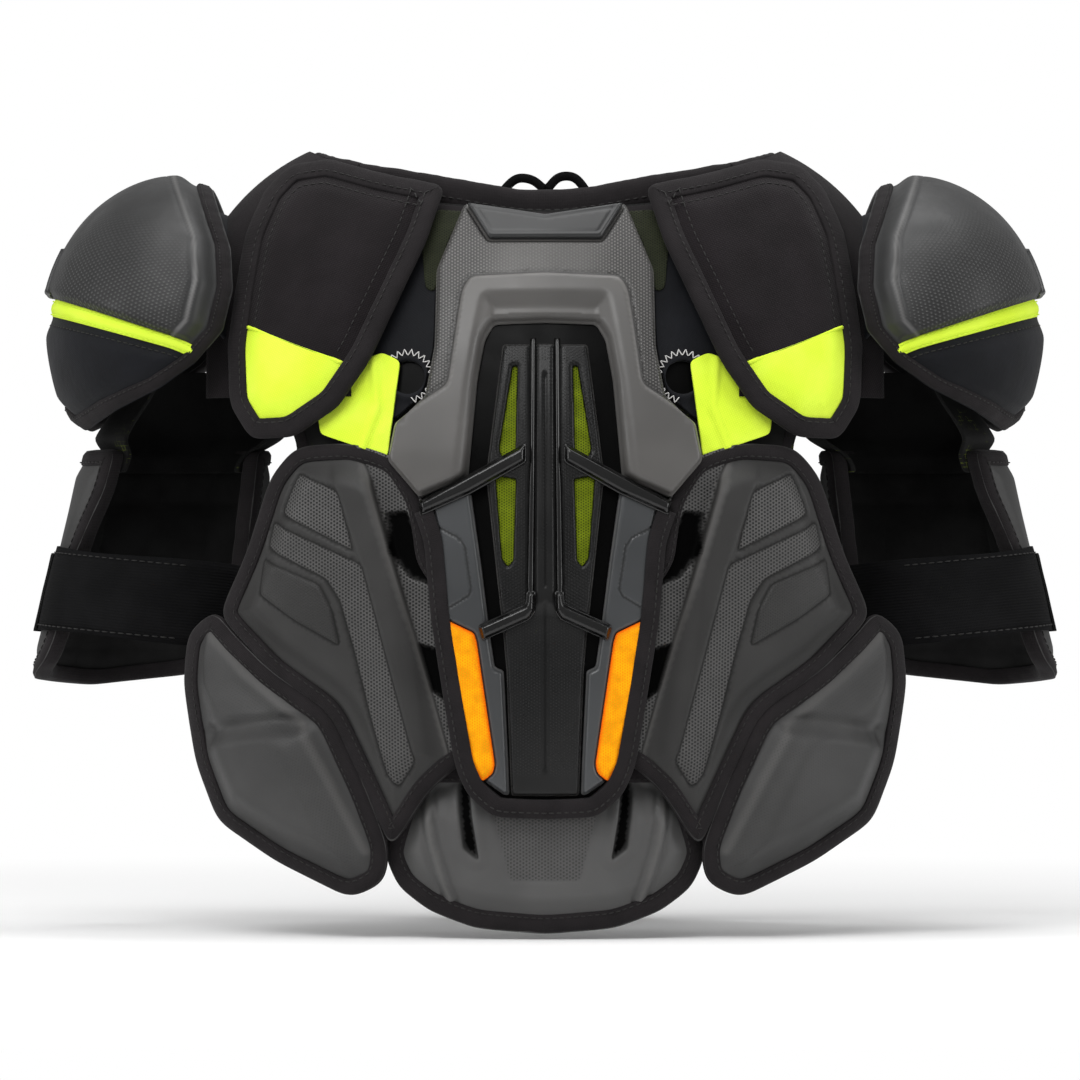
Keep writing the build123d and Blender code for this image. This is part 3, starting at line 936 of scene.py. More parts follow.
FOAM = foam("moulded_foam", grey(0.016, 0.03), grey(0.023, 0.025))
POD_FOAM = foam("pod_foam", grey(0.028, 0.01), grey(0.038, 0.01))
BELLY_FOAM = foam("belly_foam", grey(0.058, 0.01), grey(0.072, 0.01))
CAP_FOAM = scaled_foam("cap_foam", grey(0.017, -0.01), grey(0.025, -0.01))
STERNUM = plastic("sternum_plastic", grey(0.064, 0.04), grey(0.078, 0.045), 0.42)
WING = plastic("wing_plastic", grey(0.034, -0.06), grey(0.043, -0.06), 0.36)
CORE = plastic("core_plastic", grey(0.006, -0.02), grey(0.01, 0.0), 0.3, shine=0.22)
BADGE = plastic("blank_badge", grey(0.02, -0.02), grey(0.026, -0.02), 0.36, shine=0.4)
BLACK = recess("recess_plastic")
GLOSS = gloss("gloss_black")
TAPE = edge_tape("edge_tape", (0.0085, 0.0072, 0.0078, 1.0))
KNIT = knit("black_knit", (0.006, 0.0046, 0.0052, 1.0), (0.0095, 0.0075, 0.0085, 1.0))
STRETCH = knit("stretch_cloth", (0.003, 0.0034, 0.0046, 1.0), (0.0055, 0.006, 0.0082, 1.0), 1.1, 0.06, 0.65)
LIME = knit("lime_cloth", (0.6, 0.82, 0.035, 1.0), (0.66, 0.88, 0.06, 1.0), 1.3, 0.07, 0.75, 0.03)
LINER = printed_liner("printed_liner")
ORANGE = mesh_cloth("orange_mesh", (1.0, 0.4, 0.0, 1.0), (1.0, 0.26, 0.0, 1.0), 0.15, 0.0)
OLIVE = mesh_cloth("olive_mesh", (0.15, 0.2, 0.003, 1.0), (0.03, 0.045, 0.001, 1.0))
STRIP = mesh_cloth("dark_mesh_strip", (0.022, 0.026, 0.012, 1.0), (0.004, 0.004, 0.003, 1.0))
ELASTIC = webbing("black_elastic", (0.0045, 0.0045, 0.0048, 1.0))
HOOK = knit("hook_tape", (0.007, 0.007, 0.007, 1.0), (0.012, 0.012, 0.012, 1.0), 0.8, 0.3, 0.9, 0.03)
DARK_THREAD = thread("dark_thread", grey(0.012, 0.05))
WHITE_THREAD = thread("white_thread", grey(0.55, 0.02))


# ---------------------------------------------------------------- chest panels
CHEST = [
    (49, 91), (54, 130), (60, 171), (63, 212), (67, 236), (81, 258), (106, 266), (138, 264),
    (152, 248), (166, 206), (182, 172), (152, 141.5), (119, 119.5), (100, 80), (85, 47), (64, 79),
]
CHEST_EDGE = 5.0           # top of the panel where its tape is sewn
PANEL_SEAM = 6.8           # from an edge to the stitches of its tape
RIB_INNER = [(103, 262), (95, 247), (52.6, 98), (40, 60)]
RIB_OUTER = [(122, 268), (112, 240), (98.2, 199.7), (70, 94.5), (56, 50)]
UPPER_WINDOW = [(135.4, 249.7), (111.4, 239.2), (103, 206.8), (143.8, 227.4)]
L_BAND = [
    (150, 223.4), (98.2, 199.7), (70.1, 94.5), (80, 80), (86.5, 86), (89.4, 96.3), (98.2, 133), (110, 180),
    (117.5, 191.8), (152.5, 209.3),
]
SIDE_PATCH = [(154, 203.2), (121, 189.2), (114, 175.2), (110.5, 155.9), (135, 170), (154, 183.9)]
UPPER_SLOT = [(87, 228), (76, 229), (62, 189), (74, 193), (84, 206)]
LOWER_SLOT = [(69, 157.5), (56, 154), (51.5, 125), (61.5, 131.5)]
CHEST_TAPE_RUN = ((52, 88), (62.5, 207))       # the sternum's own tape covers the rest of the edge
CHEST_TAPE_START = [(38, 97), (47, 92.5)]      # its two ends run under the sternum tape
CHEST_TAPE_STOP = [(61.5, 203), (51, 188)]


def chest_relief(loop):
    """The moulded shape of a chest panel: its height, its masks and the lines where it needs points."""
    window, band = loop_of(UPPER_WINDOW, 2.0), loop_of(L_BAND, 2.0)
    patch = loop_of(SIDE_PATCH, 2.0)
    slots = [loop_of(slot, 0.8) for slot in (UPPER_SLOT, LOWER_SLOT)]

    def borders(plan):
        """1 on the engraved lines round the embossed shapes."""
        lines = [smooth(distance(plan, shape), 0.9, 0.1) for shape in (window, band, patch)]
        lines.append(smooth(np.abs(side_of(plan, RIB_INNER)), 0.9, 0.1))
        return np.max(lines, axis=0)

    def top(plan):
        from_edge = distance(plan, loop)
        rise = smooth(from_edge, PANEL_BINDING - 2.5, 24)
        k = CHEST_EDGE + 8.0 * rise
        # positive towards the sternum: both rib lines run downwards
        past_inner = side_of(plan, RIB_INNER)
        past_outer = side_of(plan, RIB_OUTER)
        strip = smooth(past_inner, -0.8, 1.2)
        k = k * (1 - strip) + (CHEST_EDGE + 0.8) * strip
        crest = smooth(past_outer, -1.5, 1.5) * (1 - smooth(past_inner, -2.5, -0.3)) * rise
        k = k + 1.3 * crest
        k -= 1.5 * smooth(depth_in(plan, window), -1.2, 0.8)
        k -= 0.9 * smooth(depth_in(plan, band), -1.2, 0.8)
        k += 1.2 * smooth(depth_in(plan, patch), -1.0, 2.0)
        k -= 0.7 * borders(plan)
        hollow = smooth(past_outer, -2, -14) * smooth(plan[:, 1], 178, 150)
        k -= 2.2 * hollow * smooth(from_edge, 4, 16)
        for slot in slots:
            k -= 3.2 * smooth(depth_in(plan, slot), -0.6, 0.6)
        return k + 0.15 * wander(plan, 16)

    def paint(plan):
        past_inner = side_of(plan, RIB_INNER)
        strip = smooth(past_inner, 0.4, 1.4)
        cut = sum(smooth(depth_in(plan, slot), -0.4, 0.4) for slot in slots)
        netting = np.maximum(strip, smooth(depth_in(plan, window), -0.2, 0.8))
        fine = smooth(depth_in(plan, band), -0.2, 0.8)
        fading = smooth(depth_in(plan, patch), 0, 1) * smooth(plan[:, 0] - 0.6 * plan[:, 1], 60, 10)
        return {
            "mesh": netting * (1 - cut) + 0.8 * fine,
            "dots": 0.85 * fading,
            "slot": np.clip(cut + 0.55 * borders(plan), 0, 1),
            # lighter along the step down to the mesh strip: wear and a painted highlight
            "worn": smooth(np.abs(past_inner + 1.0), 2.0, 0.4) * 0.5,
        }

    lines = [row for shape in (window, band, patch) for row in (shape, inset(shape, 1.0))]
    for line in (RIB_INNER, RIB_OUTER):
        dense = resampled(line, 1.2, False)
        lines += [offset_open(dense, amount) for amount in (0, 1.0, -1.0)]
    lines += [row for slot in slots for row in (slot, inset(slot, -0.8))]
    return top, paint, lines


def chest_panels():
    loop = loop_of(CHEST, 6.0)
    top, paint, lines = chest_relief(loop)
    panel = pad("chest_panel", loop, torso, top, 1.5, 1.5, features=lines, paint=paint)
    dress_pair(panel, "front", "chest_panel_SIDE", FOAM)
    section = tape_section(PANEL_BINDING, CHEST_EDGE + 0.6, 1.3)
    edge = open_part(loop, *CHEST_TAPE_RUN)
    tails = [resampled(tail, 1.6, False) for tail in (CHEST_TAPE_START, CHEST_TAPE_STOP)]
    edge = open_eased(resampled(np.vstack([tails[0], edge, tails[1]]), 1.6, False), 1.5)
    tape = sweep("chest_tape", edge, section, torso, closed=False, ripple=0.25)
    dress_pair(tape, "front", "chest_binding_SIDE", TAPE)
    seam = stitches("chest_stitches", offset_open(edge, PANEL_SEAM), torso, CHEST_EDGE + 1.6, closed=False)
    dress_pair(seam, "front", None, DARK_THREAD)


# ---------------------------------------------------------------- rib pods
POD = [
    (185, 175), (201, 162), (204, 135), (197, 92), (184, 60), (150, 39), (108, 20), (89, 29),
    (86.5, 47), (98.5, 78.5), (118, 119.5), (152, 142), (174, 162),
]
POD_CREASE = [(214, 104), (192, 105.5), (160, 112), (133.4, 114.5)]
POD_RIDGE = [(196, 172), (166, 141), (133.4, 114.5), (117, 84), (98.2, 45.5)]


def rib_pods():
    loop = loop_of(POD, 6.0)
    tape_top = 5.2

    def top(plan):
        from_edge = distance(plan, loop)
        k = tape_top + 15.5 * smooth(from_edge, PANEL_BINDING - 2.0, 29)
        from_crease = distance(plan, POD_CREASE, closed=False)
        k -= 4.2 * smooth(from_crease, 8.5, 0.5) * smooth(from_edge, 7, 15)
        above = smooth(side_of(plan, POD_CREASE), -4, 4)
        k -= 2.4 * above * smooth(from_edge, 6, 20) * smooth(from_crease, 30, 0)
        ridge = distance(plan, POD_RIDGE, closed=False)
        k += 2.2 * smooth(ridge, 7.0, 0.0) * smooth(from_edge, 4, 12)
        return k + 0.18 * wander(plan, 19, 2.0)

    def paint(plan):
        beside = side_of(plan, POD_RIDGE)
        fade = smooth(beside, 18, 4) * smooth(beside, -34, -4)
        # lighter along the ridge: wear and a painted highlight
        worn = smooth(distance(plan, POD_RIDGE, closed=False), 3.0, 0.4)
        return {"dots": 0.3 * fade * smooth(distance(plan, loop), 8, 18), "worn": 0.35 * worn}

    crease = resampled(POD_CREASE[1:], 1.5, False)
    pod = pad("rib_pod", loop, torso, top, 2.0, features=[crease], paint=paint)
    dress_pair(pod, "rib_pod_SIDE", "rib_pod_SIDE", POD_FOAM)
    section = tape_section(PANEL_BINDING, tape_top + 0.6, 1.4)
    tape = sweep("rib_pod_tape", loop, section, torso, ripple=0.25, seed=3)
    dress_pair(tape, "rib_pod_SIDE", "rib_pod_binding_SIDE", TAPE)
    seam = stitches("rib_pod_stitches", inset(loop, PANEL_SEAM), torso, tape_top + 1.6)
    dress_pair(seam, "rib_pod_SIDE", None, DARK_THREAD)


POD_SEAM = [(176, 168), (152, 141.5), (118.5, 119.5), (99, 79.5), (88, 52)]
POD_SEAM_REACH = 10.0


def pod_seams():
    """The cloth under each rib pod's inner edge, on which the pod flexes."""
    line = resampled(POD_SEAM, 2.0, False)
    edges = offset_open(line, POD_SEAM_REACH), offset_open(line, -POD_SEAM_REACH)[::-1]
    loop = loop_of(np.vstack(edges), 3.0, 2.0)
    cloth = pad("pod_seam", loop, torso, 1.2, -0.2, 2.0, rings=(0.6,))
    middle = np.array(POD_SEAM[2])
    towards_pod = np.array([0.8, -0.6]) * POD_SEAM_REACH
    bend = torso(np.array([middle - towards_pod, middle + towards_pod]), 0.0).tolist()
    blend_pair(cloth, KNIT)


# ---------------------------------------------------------------- sternum guard
STERNUM_LINE = [
    (0, 64), (28, 65), (42, 77), (48.5, 92), (55, 130), (61.5, 171), (65, 212), (72, 232), (86, 255),
    (82, 277), (65, 291), (60, 318), (59, 360), (44, 398), (0, 391),
]
SHELL_LINE = [
    (0, 332), (28, 331), (33, 322), (37, 300), (42, 247), (68, 236), (85, 256), (81, 276), (65, 291),
    (60, 318), (59, 360), (44, 397), (0, 389.5),
]
FRAME_LINE = [(0, 356), (40, 354), (44.5, 347), (47.5, 328), (52, 296), (83, 276)]
BASIN_LINE = [(0, 346), (34, 345.5), (38.5, 322), (43, 296), (49, 247)]
BADGE_LINE = [(0, 374.5), (30, 374.5), (42, 393.5), (0, 387)]
WING_LINE = [
    (41, 243), (65, 233.5), (60.5, 229), (57, 212), (53.5, 171), (46.3, 130), (38.3, 93), (33, 84),
    (22, 76.5), (19.5, 76.5), (20, 92), (22.5, 143), (27.5, 145), (30, 162), (35, 201),
]
WING_ENGRAVING = [(61, 222), (46.8, 214.5), (43.2, 210), (39.8, 187), (41, 183.5), (51.5, 177)]
INSERT_LINE = [(54, 171), (38, 163.5), (36.5, 158), (26.8, 93), (28, 88), (34, 83.5), (39.5, 93), (47.5, 130)]
CORE_LINE = [(0, 319), (23, 319), (32, 248), (22.5, 160), (21, 143), (18.5, 76), (0, 76)]
TOP_GLASS = [(14.8, 307), (17.6, 307), (25, 262), (23, 257), (16, 259)]
LOW_GLASS = [(15.6, 246), (27, 248), (23.5, 203), (20, 198.5), (17, 202)]
UPPER_BAR = [(10, 265), (10, 254.5), (40, 237.5), (66, 226), (68, 233.5), (42, 247.5)]
LOWER_BAR = [(5, 186), (10, 186), (10.5, 179), (36, 167.5), (33.5, 159), (8, 170.5), (5, 175)]
RAIL = [(4.5, 322), (8.4, 322), (8.6, 262), (9.4, 240), (10.2, 190), (9.6, 177), (5.6, 182), (4.9, 240)]


def sternum():
    outline = loop_of(both_sides(STERNUM_LINE), 4.0)
    bed = pad("sternum_bed", inset(outline, 2.0), torso, 4.2, 1.0, 4.0)
    dress(bed, "front", "sternum_bed", BLACK)
    sternum_shell()
    sternum_core()
    sternum_wings()
    # the shell's shoulders cover the tape's ends
    edge = open_part(outline, (-66, 228), (66, 228))
    tape = sweep("sternum_tape", edge, tape_section(BINDING, 11.0, 1.4), torso, False, 0.25, 5.0)
    dress(tape, "front", "sternum_binding", TAPE)
    seam = stitches("sternum_stitches", offset_open(edge, 3.2), torso, 12.0, closed=False)
    dress(seam, "front", None, DARK_THREAD)


def sternum_shell():
    loop = loop_of(both_sides(SHELL_LINE), 1.6, 1.3)
    frame_line = open_eased(resampled(across_middle(FRAME_LINE), 1.3, False), 2.0)
    basin = open_eased(resampled(across_middle(BASIN_LINE), 1.3, False), 2.5)
    badge = loop_of(both_sides(BADGE_LINE), 1.0, 1.2)
    seat = inset(badge, -1.6)

    def top(plan):
        from_edge = distance(plan, loop)
        k = 8.5 + 6.0 * smooth(from_edge, 0, 3.0)
        framed = side_of(plan, frame_line)
        k += 2.0 * smooth(framed, -0.9, 0.9)
        k -= 0.9 * smooth(np.abs(framed), 1.5, 0.5)
        k -= 5.2 * smooth(side_of(plan, basin), -1.5, 9.0)
        k -= 1.5 * smooth(depth_in(plan, seat), -1.0, 0.8)
        k -= 1.2 * smooth(plan[:, 1], 262, 236)
        return k + 0.08 * wander(plan, 21, 4.0)

    def paint(plan):
        framed = side_of(plan, frame_line)
        in_seat = depth_in(plan, seat)
        outside = smooth(framed, 0.5, -1.5) * smooth(in_seat, 2.0, -1.0)
        body = smooth(np.abs(plan[:, 0]), 18, 40)
        line = smooth(np.abs(framed + 0.4), 0.9, 0.2)
        # a lighter line along the raised frame's crest and round the rim: wear and a painted highlight
        rub_and_highlight = 0.22 * smooth(np.abs(framed - 1.6), 1.2, 0.2)
        return {
            "scales": outside * (0.35 + 0.65 * body),
            "slot": 0.75 * line + smooth(in_seat, 0.8, 0.2) * smooth(in_seat, -1.2, 0.0),
            "worn": rub_and_highlight + 0.2 * smooth(distance(plan, loop), 1.6, 0.4),
        }

    lines = [offset_open(frame_line, amount) for amount in (0, 0.9, -0.9)] + [basin, seat, inset(seat, 0.8)]
    shell = pad("sternum_shell", loop, torso, top, 4.4, 1.3, features=lines, paint=paint,
                rings=(0.5, 1.3, 2.6))
    dress(shell, "front", "sternum_shell", STERNUM)

    def plate_top(plan):
        from_edge = distance(plan, badge)
        return 15.4 + 1.4 * smooth(from_edge, 0, 1.0) - 0.5 * smooth(np.abs(from_edge - 2.6), 0.8, 0.2)

    plate = pad("blank_badge", badge, torso, plate_top, 13.0, 1.3, rings=(0.4, 0.9, 1.8, 2.6, 3.4))
    dress(plate, "front", "badge_plate", BADGE)


def core_groove(plan):
    """1 on the fine groove down the middle of the core, which stops short of the lower bar and both ends."""
    x, z = np.abs(plan[:, 0]), plan[:, 1]
    unbroken = 1 - smooth(np.abs(z - 184), 5, 3)
    return smooth(x, 0.9, 0.3) * unbroken * smooth(z, 88, 92) * smooth(z, 304, 300)


def sternum_core():
    loop = loop_of(both_sides(CORE_LINE), 1.2, 1.1)
    glasses = [glass for shape in (TOP_GLASS, LOW_GLASS) for glass in mirrored_loops(shape, 0.8, 1.0)]
    rails = mirrored_loops(RAIL, 0.8, 1.0)

    def top(plan):
        x, z = np.abs(plan[:, 0]), plan[:, 1]
        k = 8.0 + 3.6 * smooth(distance(plan, loop), 0, 1.8)
        k += 1.0 * smooth(x, 4.6, 3.8) * smooth(z, 176, 180)
        k -= 1.3 * core_groove(plan)
        k -= 0.8 * smooth(z, 178, 172)
        for rail in rails:
            k -= 1.2 * smooth(depth_in(plan, rail), -0.4, 0.4)
        for glass in glasses:
            k -= 0.9 * smooth(depth_in(plan, glass), -1.4, -0.4)
        return k

    def paint(plan):
        x, z = np.abs(plan[:, 0]), plan[:, 1]
        from_edge = distance(plan, loop)
        foot = smooth(z, 176, 170) * smooth(z, 84, 92) * smooth(x, 1.5, 3.0)
        head = smooth(z, 309, 311) * smooth(from_edge, 1.0, 2.0)
        return {
            "slot": core_groove(plan),
            "dots": np.maximum(0.8 * foot, 0.9 * head),
            "scales": 0.45 * smooth(z, 172, 178) * smooth(x, 9.5, 11),
            # lighter round the rim: wear and a painted highlight
            "worn": 0.25 * smooth(from_edge, 1.2, 0.3),
        }

    core = pad("sternum_core", loop, torso, top, 4.4, 1.15, holes=glasses, rings=(0.4, 1.0, 1.8),
               features=rails, paint=paint)
    dress(core, "front", "sternum_core", CORE)
    core_meshes(glasses)
    core_rails(rails)
    core_crossbars()


def core_meshes(glasses):
    def top(plan):
        return 8.2 + 0.8 * np.sin(plan[:, 1] / 5.0) ** 2

    for i, glass in enumerate(glasses):
        window = pad(f"core_mesh_{i + 1}", inset(glass, 0.15), torso, top, 5.5, 1.1)
        dress(window, "front", "core_meshes", OLIVE)


def core_rails(rails):
    for i, rail in enumerate(rails):
        strip = pad(f"core_rail_{i + 1}", inset(rail, 0.25), torso, domed(rail, 10.4, 2.3, 1.6), 9.0, 0.9)
        dress(strip, "front", None, GLOSS)


def core_crossbars():
    for i, shape in enumerate((UPPER_BAR, LOWER_BAR)):
        for loop, side in zip(mirrored_loops(shape, 1.0, 0.9), ("left", "right")):
            bar = pad(f"crossbar_{i + 1}_{side}", loop, torso, domed(loop, 12.2, 3.4, 2.6), 8.0, 0.9,
                      rings=(0.4, 0.9, 1.6))
            dress(bar, "front", "core_crossbars", GLOSS)


def sternum_wings():
    for sign, side in ((LEFT, "left"), (RIGHT, "right")):
        sternum_wing(sign, side)


def sternum_wing(sign, side):
    loop = loop_of(flipped(WING_LINE, sign), 0.9, 1.2)
    insert = loop_of(flipped(INSERT_LINE, sign), 1.2, 1.2)
    engraved = resampled(flipped(WING_ENGRAVING, sign), 1.0, False)

    def top(plan):
        k = 8.0 + 3.0 * smooth(distance(plan, loop), 0, 2.2)
        k -= 0.7 * smooth(distance(plan, engraved, closed=False), 0.7, 0.2)
        k -= 2.6 * smooth(depth_in(plan, insert), -1.2, -0.1)
        return k

    def paint(plan):
        line = smooth(distance(plan, engraved, closed=False), 0.8, 0.3)
        # lighter round the rim by mask: wear and a painted highlight
        return {"slot": 0.8 * line, "worn": 0.3 * smooth(distance(plan, loop), 1.3, 0.3)}

    def insert_paint(plan):
        # towards the rim the orange turns darker and redder: wear and painted shade
        return {"worn": smooth(distance(plan, insert), 2.4, 0.3)}

    wing = pad(f"sternum_wing_{side}", loop, torso, top, 4.4, 1.1,
               features=[engraved, insert, inset(insert, -1.2)], paint=paint, rings=(0.4, 1.0, 2.0))
    dress(wing, "front", "sternum_wings", WING)
    patch = pad(f"orange_insert_{side}", inset(insert, 0.3), torso, domed(insert, 10.0, 1.9, 4.0), 7.0, 1.1,
                paint=insert_paint)
    dress(patch, "front", "orange_inserts", ORANGE)


# ---------------------------------------------------------------- belly flap
BELLY = [(0, 0), (40, 3), (66, 12), (84, 25), (92, 43), (86, 62), (74, 92), (0, 92)]
BELLY_SLOT = [(49.6, 82), (44.3, 83), (37.3, 41), (45.5, 47)]
BELLY_APRON = [(-31, 72), (31, 72), (20, 29), (-20, 29)]
BELLY_RIB = [(69, 84), (63, 48), (54, 19)]


def belly():
    loop = loop_of(both_sides(BELLY), 5.0)
    slots = mirrored_loops(BELLY_SLOT, 1.0, 1.2)
    apron = loop_of(BELLY_APRON, 1.5)
    ribs = [resampled(flipped(BELLY_RIB, sign), 1.5, False) for sign in (LEFT, RIGHT)]
    edge_top = -4.2

    def top(plan):
        from_edge = distance(plan, loop)
        k = edge_top + 5.2 * smooth(from_edge, BINDING - 2.0, 21)
        for rib in ribs:
            away = distance(plan, rib, closed=False)
            k += 1.6 * smooth(away, 3.4, 1.2) - 1.0 * smooth(np.abs(away - 4.4), 1.2, 0.3)
        for slot in slots:
            deep = depth_in(plan, slot)
            k += 1.2 * smooth(deep, -8, -2)
            k -= 4.0 * smooth(deep, -0.8, 0.5)
        k -= 0.8 * smooth(depth_in(plan, apron), -0.8, 0.6)
        k -= 5.0 * smooth(plan[:, 1], 60, 78)
        return np.maximum(k, -7.5)

    def paint(plan):
        cut = sum(smooth(depth_in(plan, slot), -0.4, 0.4) for slot in slots)
        crests = sum(smooth(distance(plan, rib, closed=False), 1.6, 0.3) for rib in ribs)
        # lighter along the rib crests: wear and a painted highlight
        return {"slot": cut, "mesh": 0.55 * smooth(depth_in(plan, apron), 0, 1.5), "worn": 0.4 * crests}

    lines = slots + [inset(slot, -0.8) for slot in slots] + [apron] + ribs
    flap = pad("belly_pad", loop, torso, top, -10.0, 1.5, features=lines, paint=paint)
    dress(flap, "belly", "belly_pad", BELLY_FOAM)
    tape = sweep("belly_tape", loop, tape_section(BINDING, edge_top + 0.5, -9.5), torso, ripple=0.25, seed=7)
    dress(tape, "belly", "belly_binding", TAPE)
    seam = stitches("belly_stitches", inset(loop, 8.2), torso, edge_top + 1.5)
    dress(seam, "belly", None, DARK_THREAD)


# ---------------------------------------------------------------- collar and liner
COLLAR_BAND = 4.5          # from the collar's outer face in to the middle of its band
COLLAR_PROFILE = [         # distance outwards and height round the band, from the top of its middle
    (-4.4, -10), (-4.6, -5), (-4.0, -1.2), (-1.9, 1.3), (0.6, 1.8), (3.0, 0.4), (4.4, -3), (4.9, -7),
    (5.2, -12), (3.6, -15.5), (0, -17), (-3.2, -14.5),
]
FORM_HEIGHTS = np.linspace(FORM_WAIST_Z, FORM_WAIST_Z + FORM_DOME * 0.99, 900)


def form_height(x, y, k):
    """Height of the torso form over points x, y, with y measured from the middle."""
    across = (np.reshape(x, (-1, 1)) / half_width(FORM_HEIGHTS, k)) ** 2
    deep = (np.reshape(y, (-1, 1)) / half_depth(FORM_HEIGHTS, k)) ** 2
    within_form = (across + deep < 1).sum(1)
    return FORM_HEIGHTS[np.clip(within_form - 1, 0, None)]


def neck(turn, out=0.0):
    """Points x, y round the neck: on the middle of the collar's band, or out mm beyond it."""
    away = np.stack([np.cos(turn) / COLLAR_HALF_WIDTH, np.sin(turn) / COLLAR_HALF_DEPTH], 1)
    away /= np.linalg.norm(away, axis=1)[:, None]
    x = (COLLAR_HALF_WIDTH - COLLAR_BAND) * np.cos(turn)
    y = (COLLAR_HALF_DEPTH - COLLAR_BAND) * np.sin(turn)
    return np.stack([x, MIDDLE_Y + y], 1) + away * np.broadcast_to(out, len(turn))[:, None]


def collar():
    """The rolled band round the neck: a fat tube that follows the shoulders up and down."""
    count, around = 420, len(COLLAR_PROFILE)
    turn = np.linspace(0, 2 * math.pi, count, endpoint=False)
    middle = neck(turn)
    top = form_height(middle[:, 0], middle[:, 1] - MIDDLE_Y, 6.5) - 5.0 * np.cos(turn) ** 2
    # the band dips at the throat, and a little at the nape
    dip = np.exp(-(np.cos(turn) * COLLAR_HALF_WIDTH / 52.0) ** 2)
    top -= dip * np.where(np.sin(turn) < 0, 8.5, 2.0)
    wave = 0.35 * np.sin(turn * 31) * np.sin(turn * 7 + 1) + 0.3 * np.sin(turn * 17 + 2)
    rings = []
    for out, up in COLLAR_PROFILE:
        lift = wave * (0.5 if up > -8 else 0.2)
        rings.append(np.column_stack([neck(turn, out + 0.3 * lift), top + up + lift]))
    uv = np.stack([np.repeat(run_of(middle), around), np.tile(np.arange(around) * 3.0, count)], 1)
    band = tube("collar_band", rings, True, uv)
    smoother = band.modifiers.new("round", "SUBSURF")
    smoother.levels = smoother.render_levels = 1
    dress(band, "front", "collar", TAPE)

    def on_band(plan, k):
        """Plan: thousandths of a radian round the neck, distance down from the top edge."""
        around_neck = plan[:, 0] / 1000
        high = np.interp(around_neck % (2 * math.pi), turn, top)
        return np.column_stack([neck(around_neck, k), high - plan[:, 1]])

    line = np.stack([np.linspace(0, 2000 * math.pi, 900), np.full(900, 9.5)], 1)
    seam = stitches("collar_stitches", line, on_band, 5.1, closed=False, length=24, pitch=38, radius=0.4)
    dress(seam, "front", None, DARK_THREAD)
    for i, joint_at in enumerate((-2480, -660)):
        joint = sweep(f"collar_joint_{i + 1}", [(joint_at, down) for down in np.linspace(-1.2, 13, 16)],
                      [(-5, 4.4), (-5, 5.3), (-2, 5.5), (2, 5.5), (5, 5.3), (5, 4.4)], on_band, closed=False)
        dress(joint, "front", None, TAPE)


def hang_loops():
    """Two humps of flat webbing behind the collar."""
    low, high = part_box("hang_loops")
    middle_y = (low.y + high.y) / 2 / MM
    foot, crown = low.z / MM, high.z / MM
    humps = [
        (-28, foot), (-25, foot + 9), (-16, crown - 1.5), (-6, crown - 3), (-1, crown - 8),
        (0, crown - 10.5), (2, crown - 8), (7, crown - 1), (17, crown - 1), (25, foot + 8), (28, foot),
    ]
    line = open_eased(resampled(humps, 1.2, False), 3.0)

    def flat(plan, k):
        return np.column_stack([plan[:, 0], middle_y + np.broadcast_to(k, len(plan)), plan[:, 1]])

    web = sweep("hang_loops", line, [(-2.4, -4.0), (-2.4, 4.0), (2.4, 4.0), (2.4, -4.0)], flat, closed=False)
    dress(web, "front", "hang_loops", ELASTIC)


LINER_LINE = [
    (0, 96), (72, 96), (96, 76), (108, 82), (126, 112), (158, 134), (184, 160), (178, 184), (162, 214),
    (148, 246), (138, 262), (150, 290), (172, 330), (176, 372), (160, 400), (132, 417), (100, 412),
    (60, 404), (0, 399),
]


def lining_print(plan):
    return {"print": np.ones(len(plan))}


def chest_liner():
    loop = loop_of(both_sides(LINER_LINE), 6.0, 3.0)

    def under(plan):
        return -6.5 - 1.5 * quilted(plan, 34, 34) * smooth(distance(plan, loop), 2, 12)

    liner = pad("chest_liner", loop, torso, -0.4, under, 3.0, paint=lining_print)
    dress(liner, "front", "chest_liner", LINER)
    tape = sweep("chest_liner_tape", loop, tape_section(7.0, -0.6, -6.5, 0.6), torso, ripple=0.2, seed=11)
    dress(tape, "front", None, TAPE)


# ---------------------------------------------------------------- shoulder: arch, gusset, flap
def layered(name, top, under, spacing):
    """A closed sheet from two grids of points, rows by columns, one over the other."""
    rows, columns = top.shape[:2]
    count = rows * columns
    faces = []
    for i in range(rows - 1):
        for j in range(columns - 1):
            a = i * columns + j
            b, c, d = a + 1, a + columns + 1, a + columns
            faces.append((a, b, c, d))
            faces.append((a + count, d + count, c + count, b + count))
    rim = list(range(columns)) + [i * columns + columns - 1 for i in range(1, rows)]
    rim += [(rows - 1) * columns + j for j in range(columns - 2, -1, -1)]
    rim += [i * columns for i in range(rows - 2, 0, -1)]
    for a, b in zip(rim, rim[1:] + rim[:1]):
        faces.append((b, a, a + count, b + count))
    uv = np.array([(j * spacing[0], i * spacing[1]) for i in range(rows) for j in range(columns)])
    piece = new_piece(name, np.vstack([top.reshape(-1, 3), under.reshape(-1, 3)]), faces, np.vstack([uv, uv]))
    fix_normals(piece)
    return piece


ARCH_FRONT_Z = 290.0
ARCH_BACK_Z = 384.0
ARCH_X = (104.0, 184.0)    # the arch's collar side and cap side
ARCH_CREST = 0.6           # the share of its run from front edge to back edge at which it crosses the top


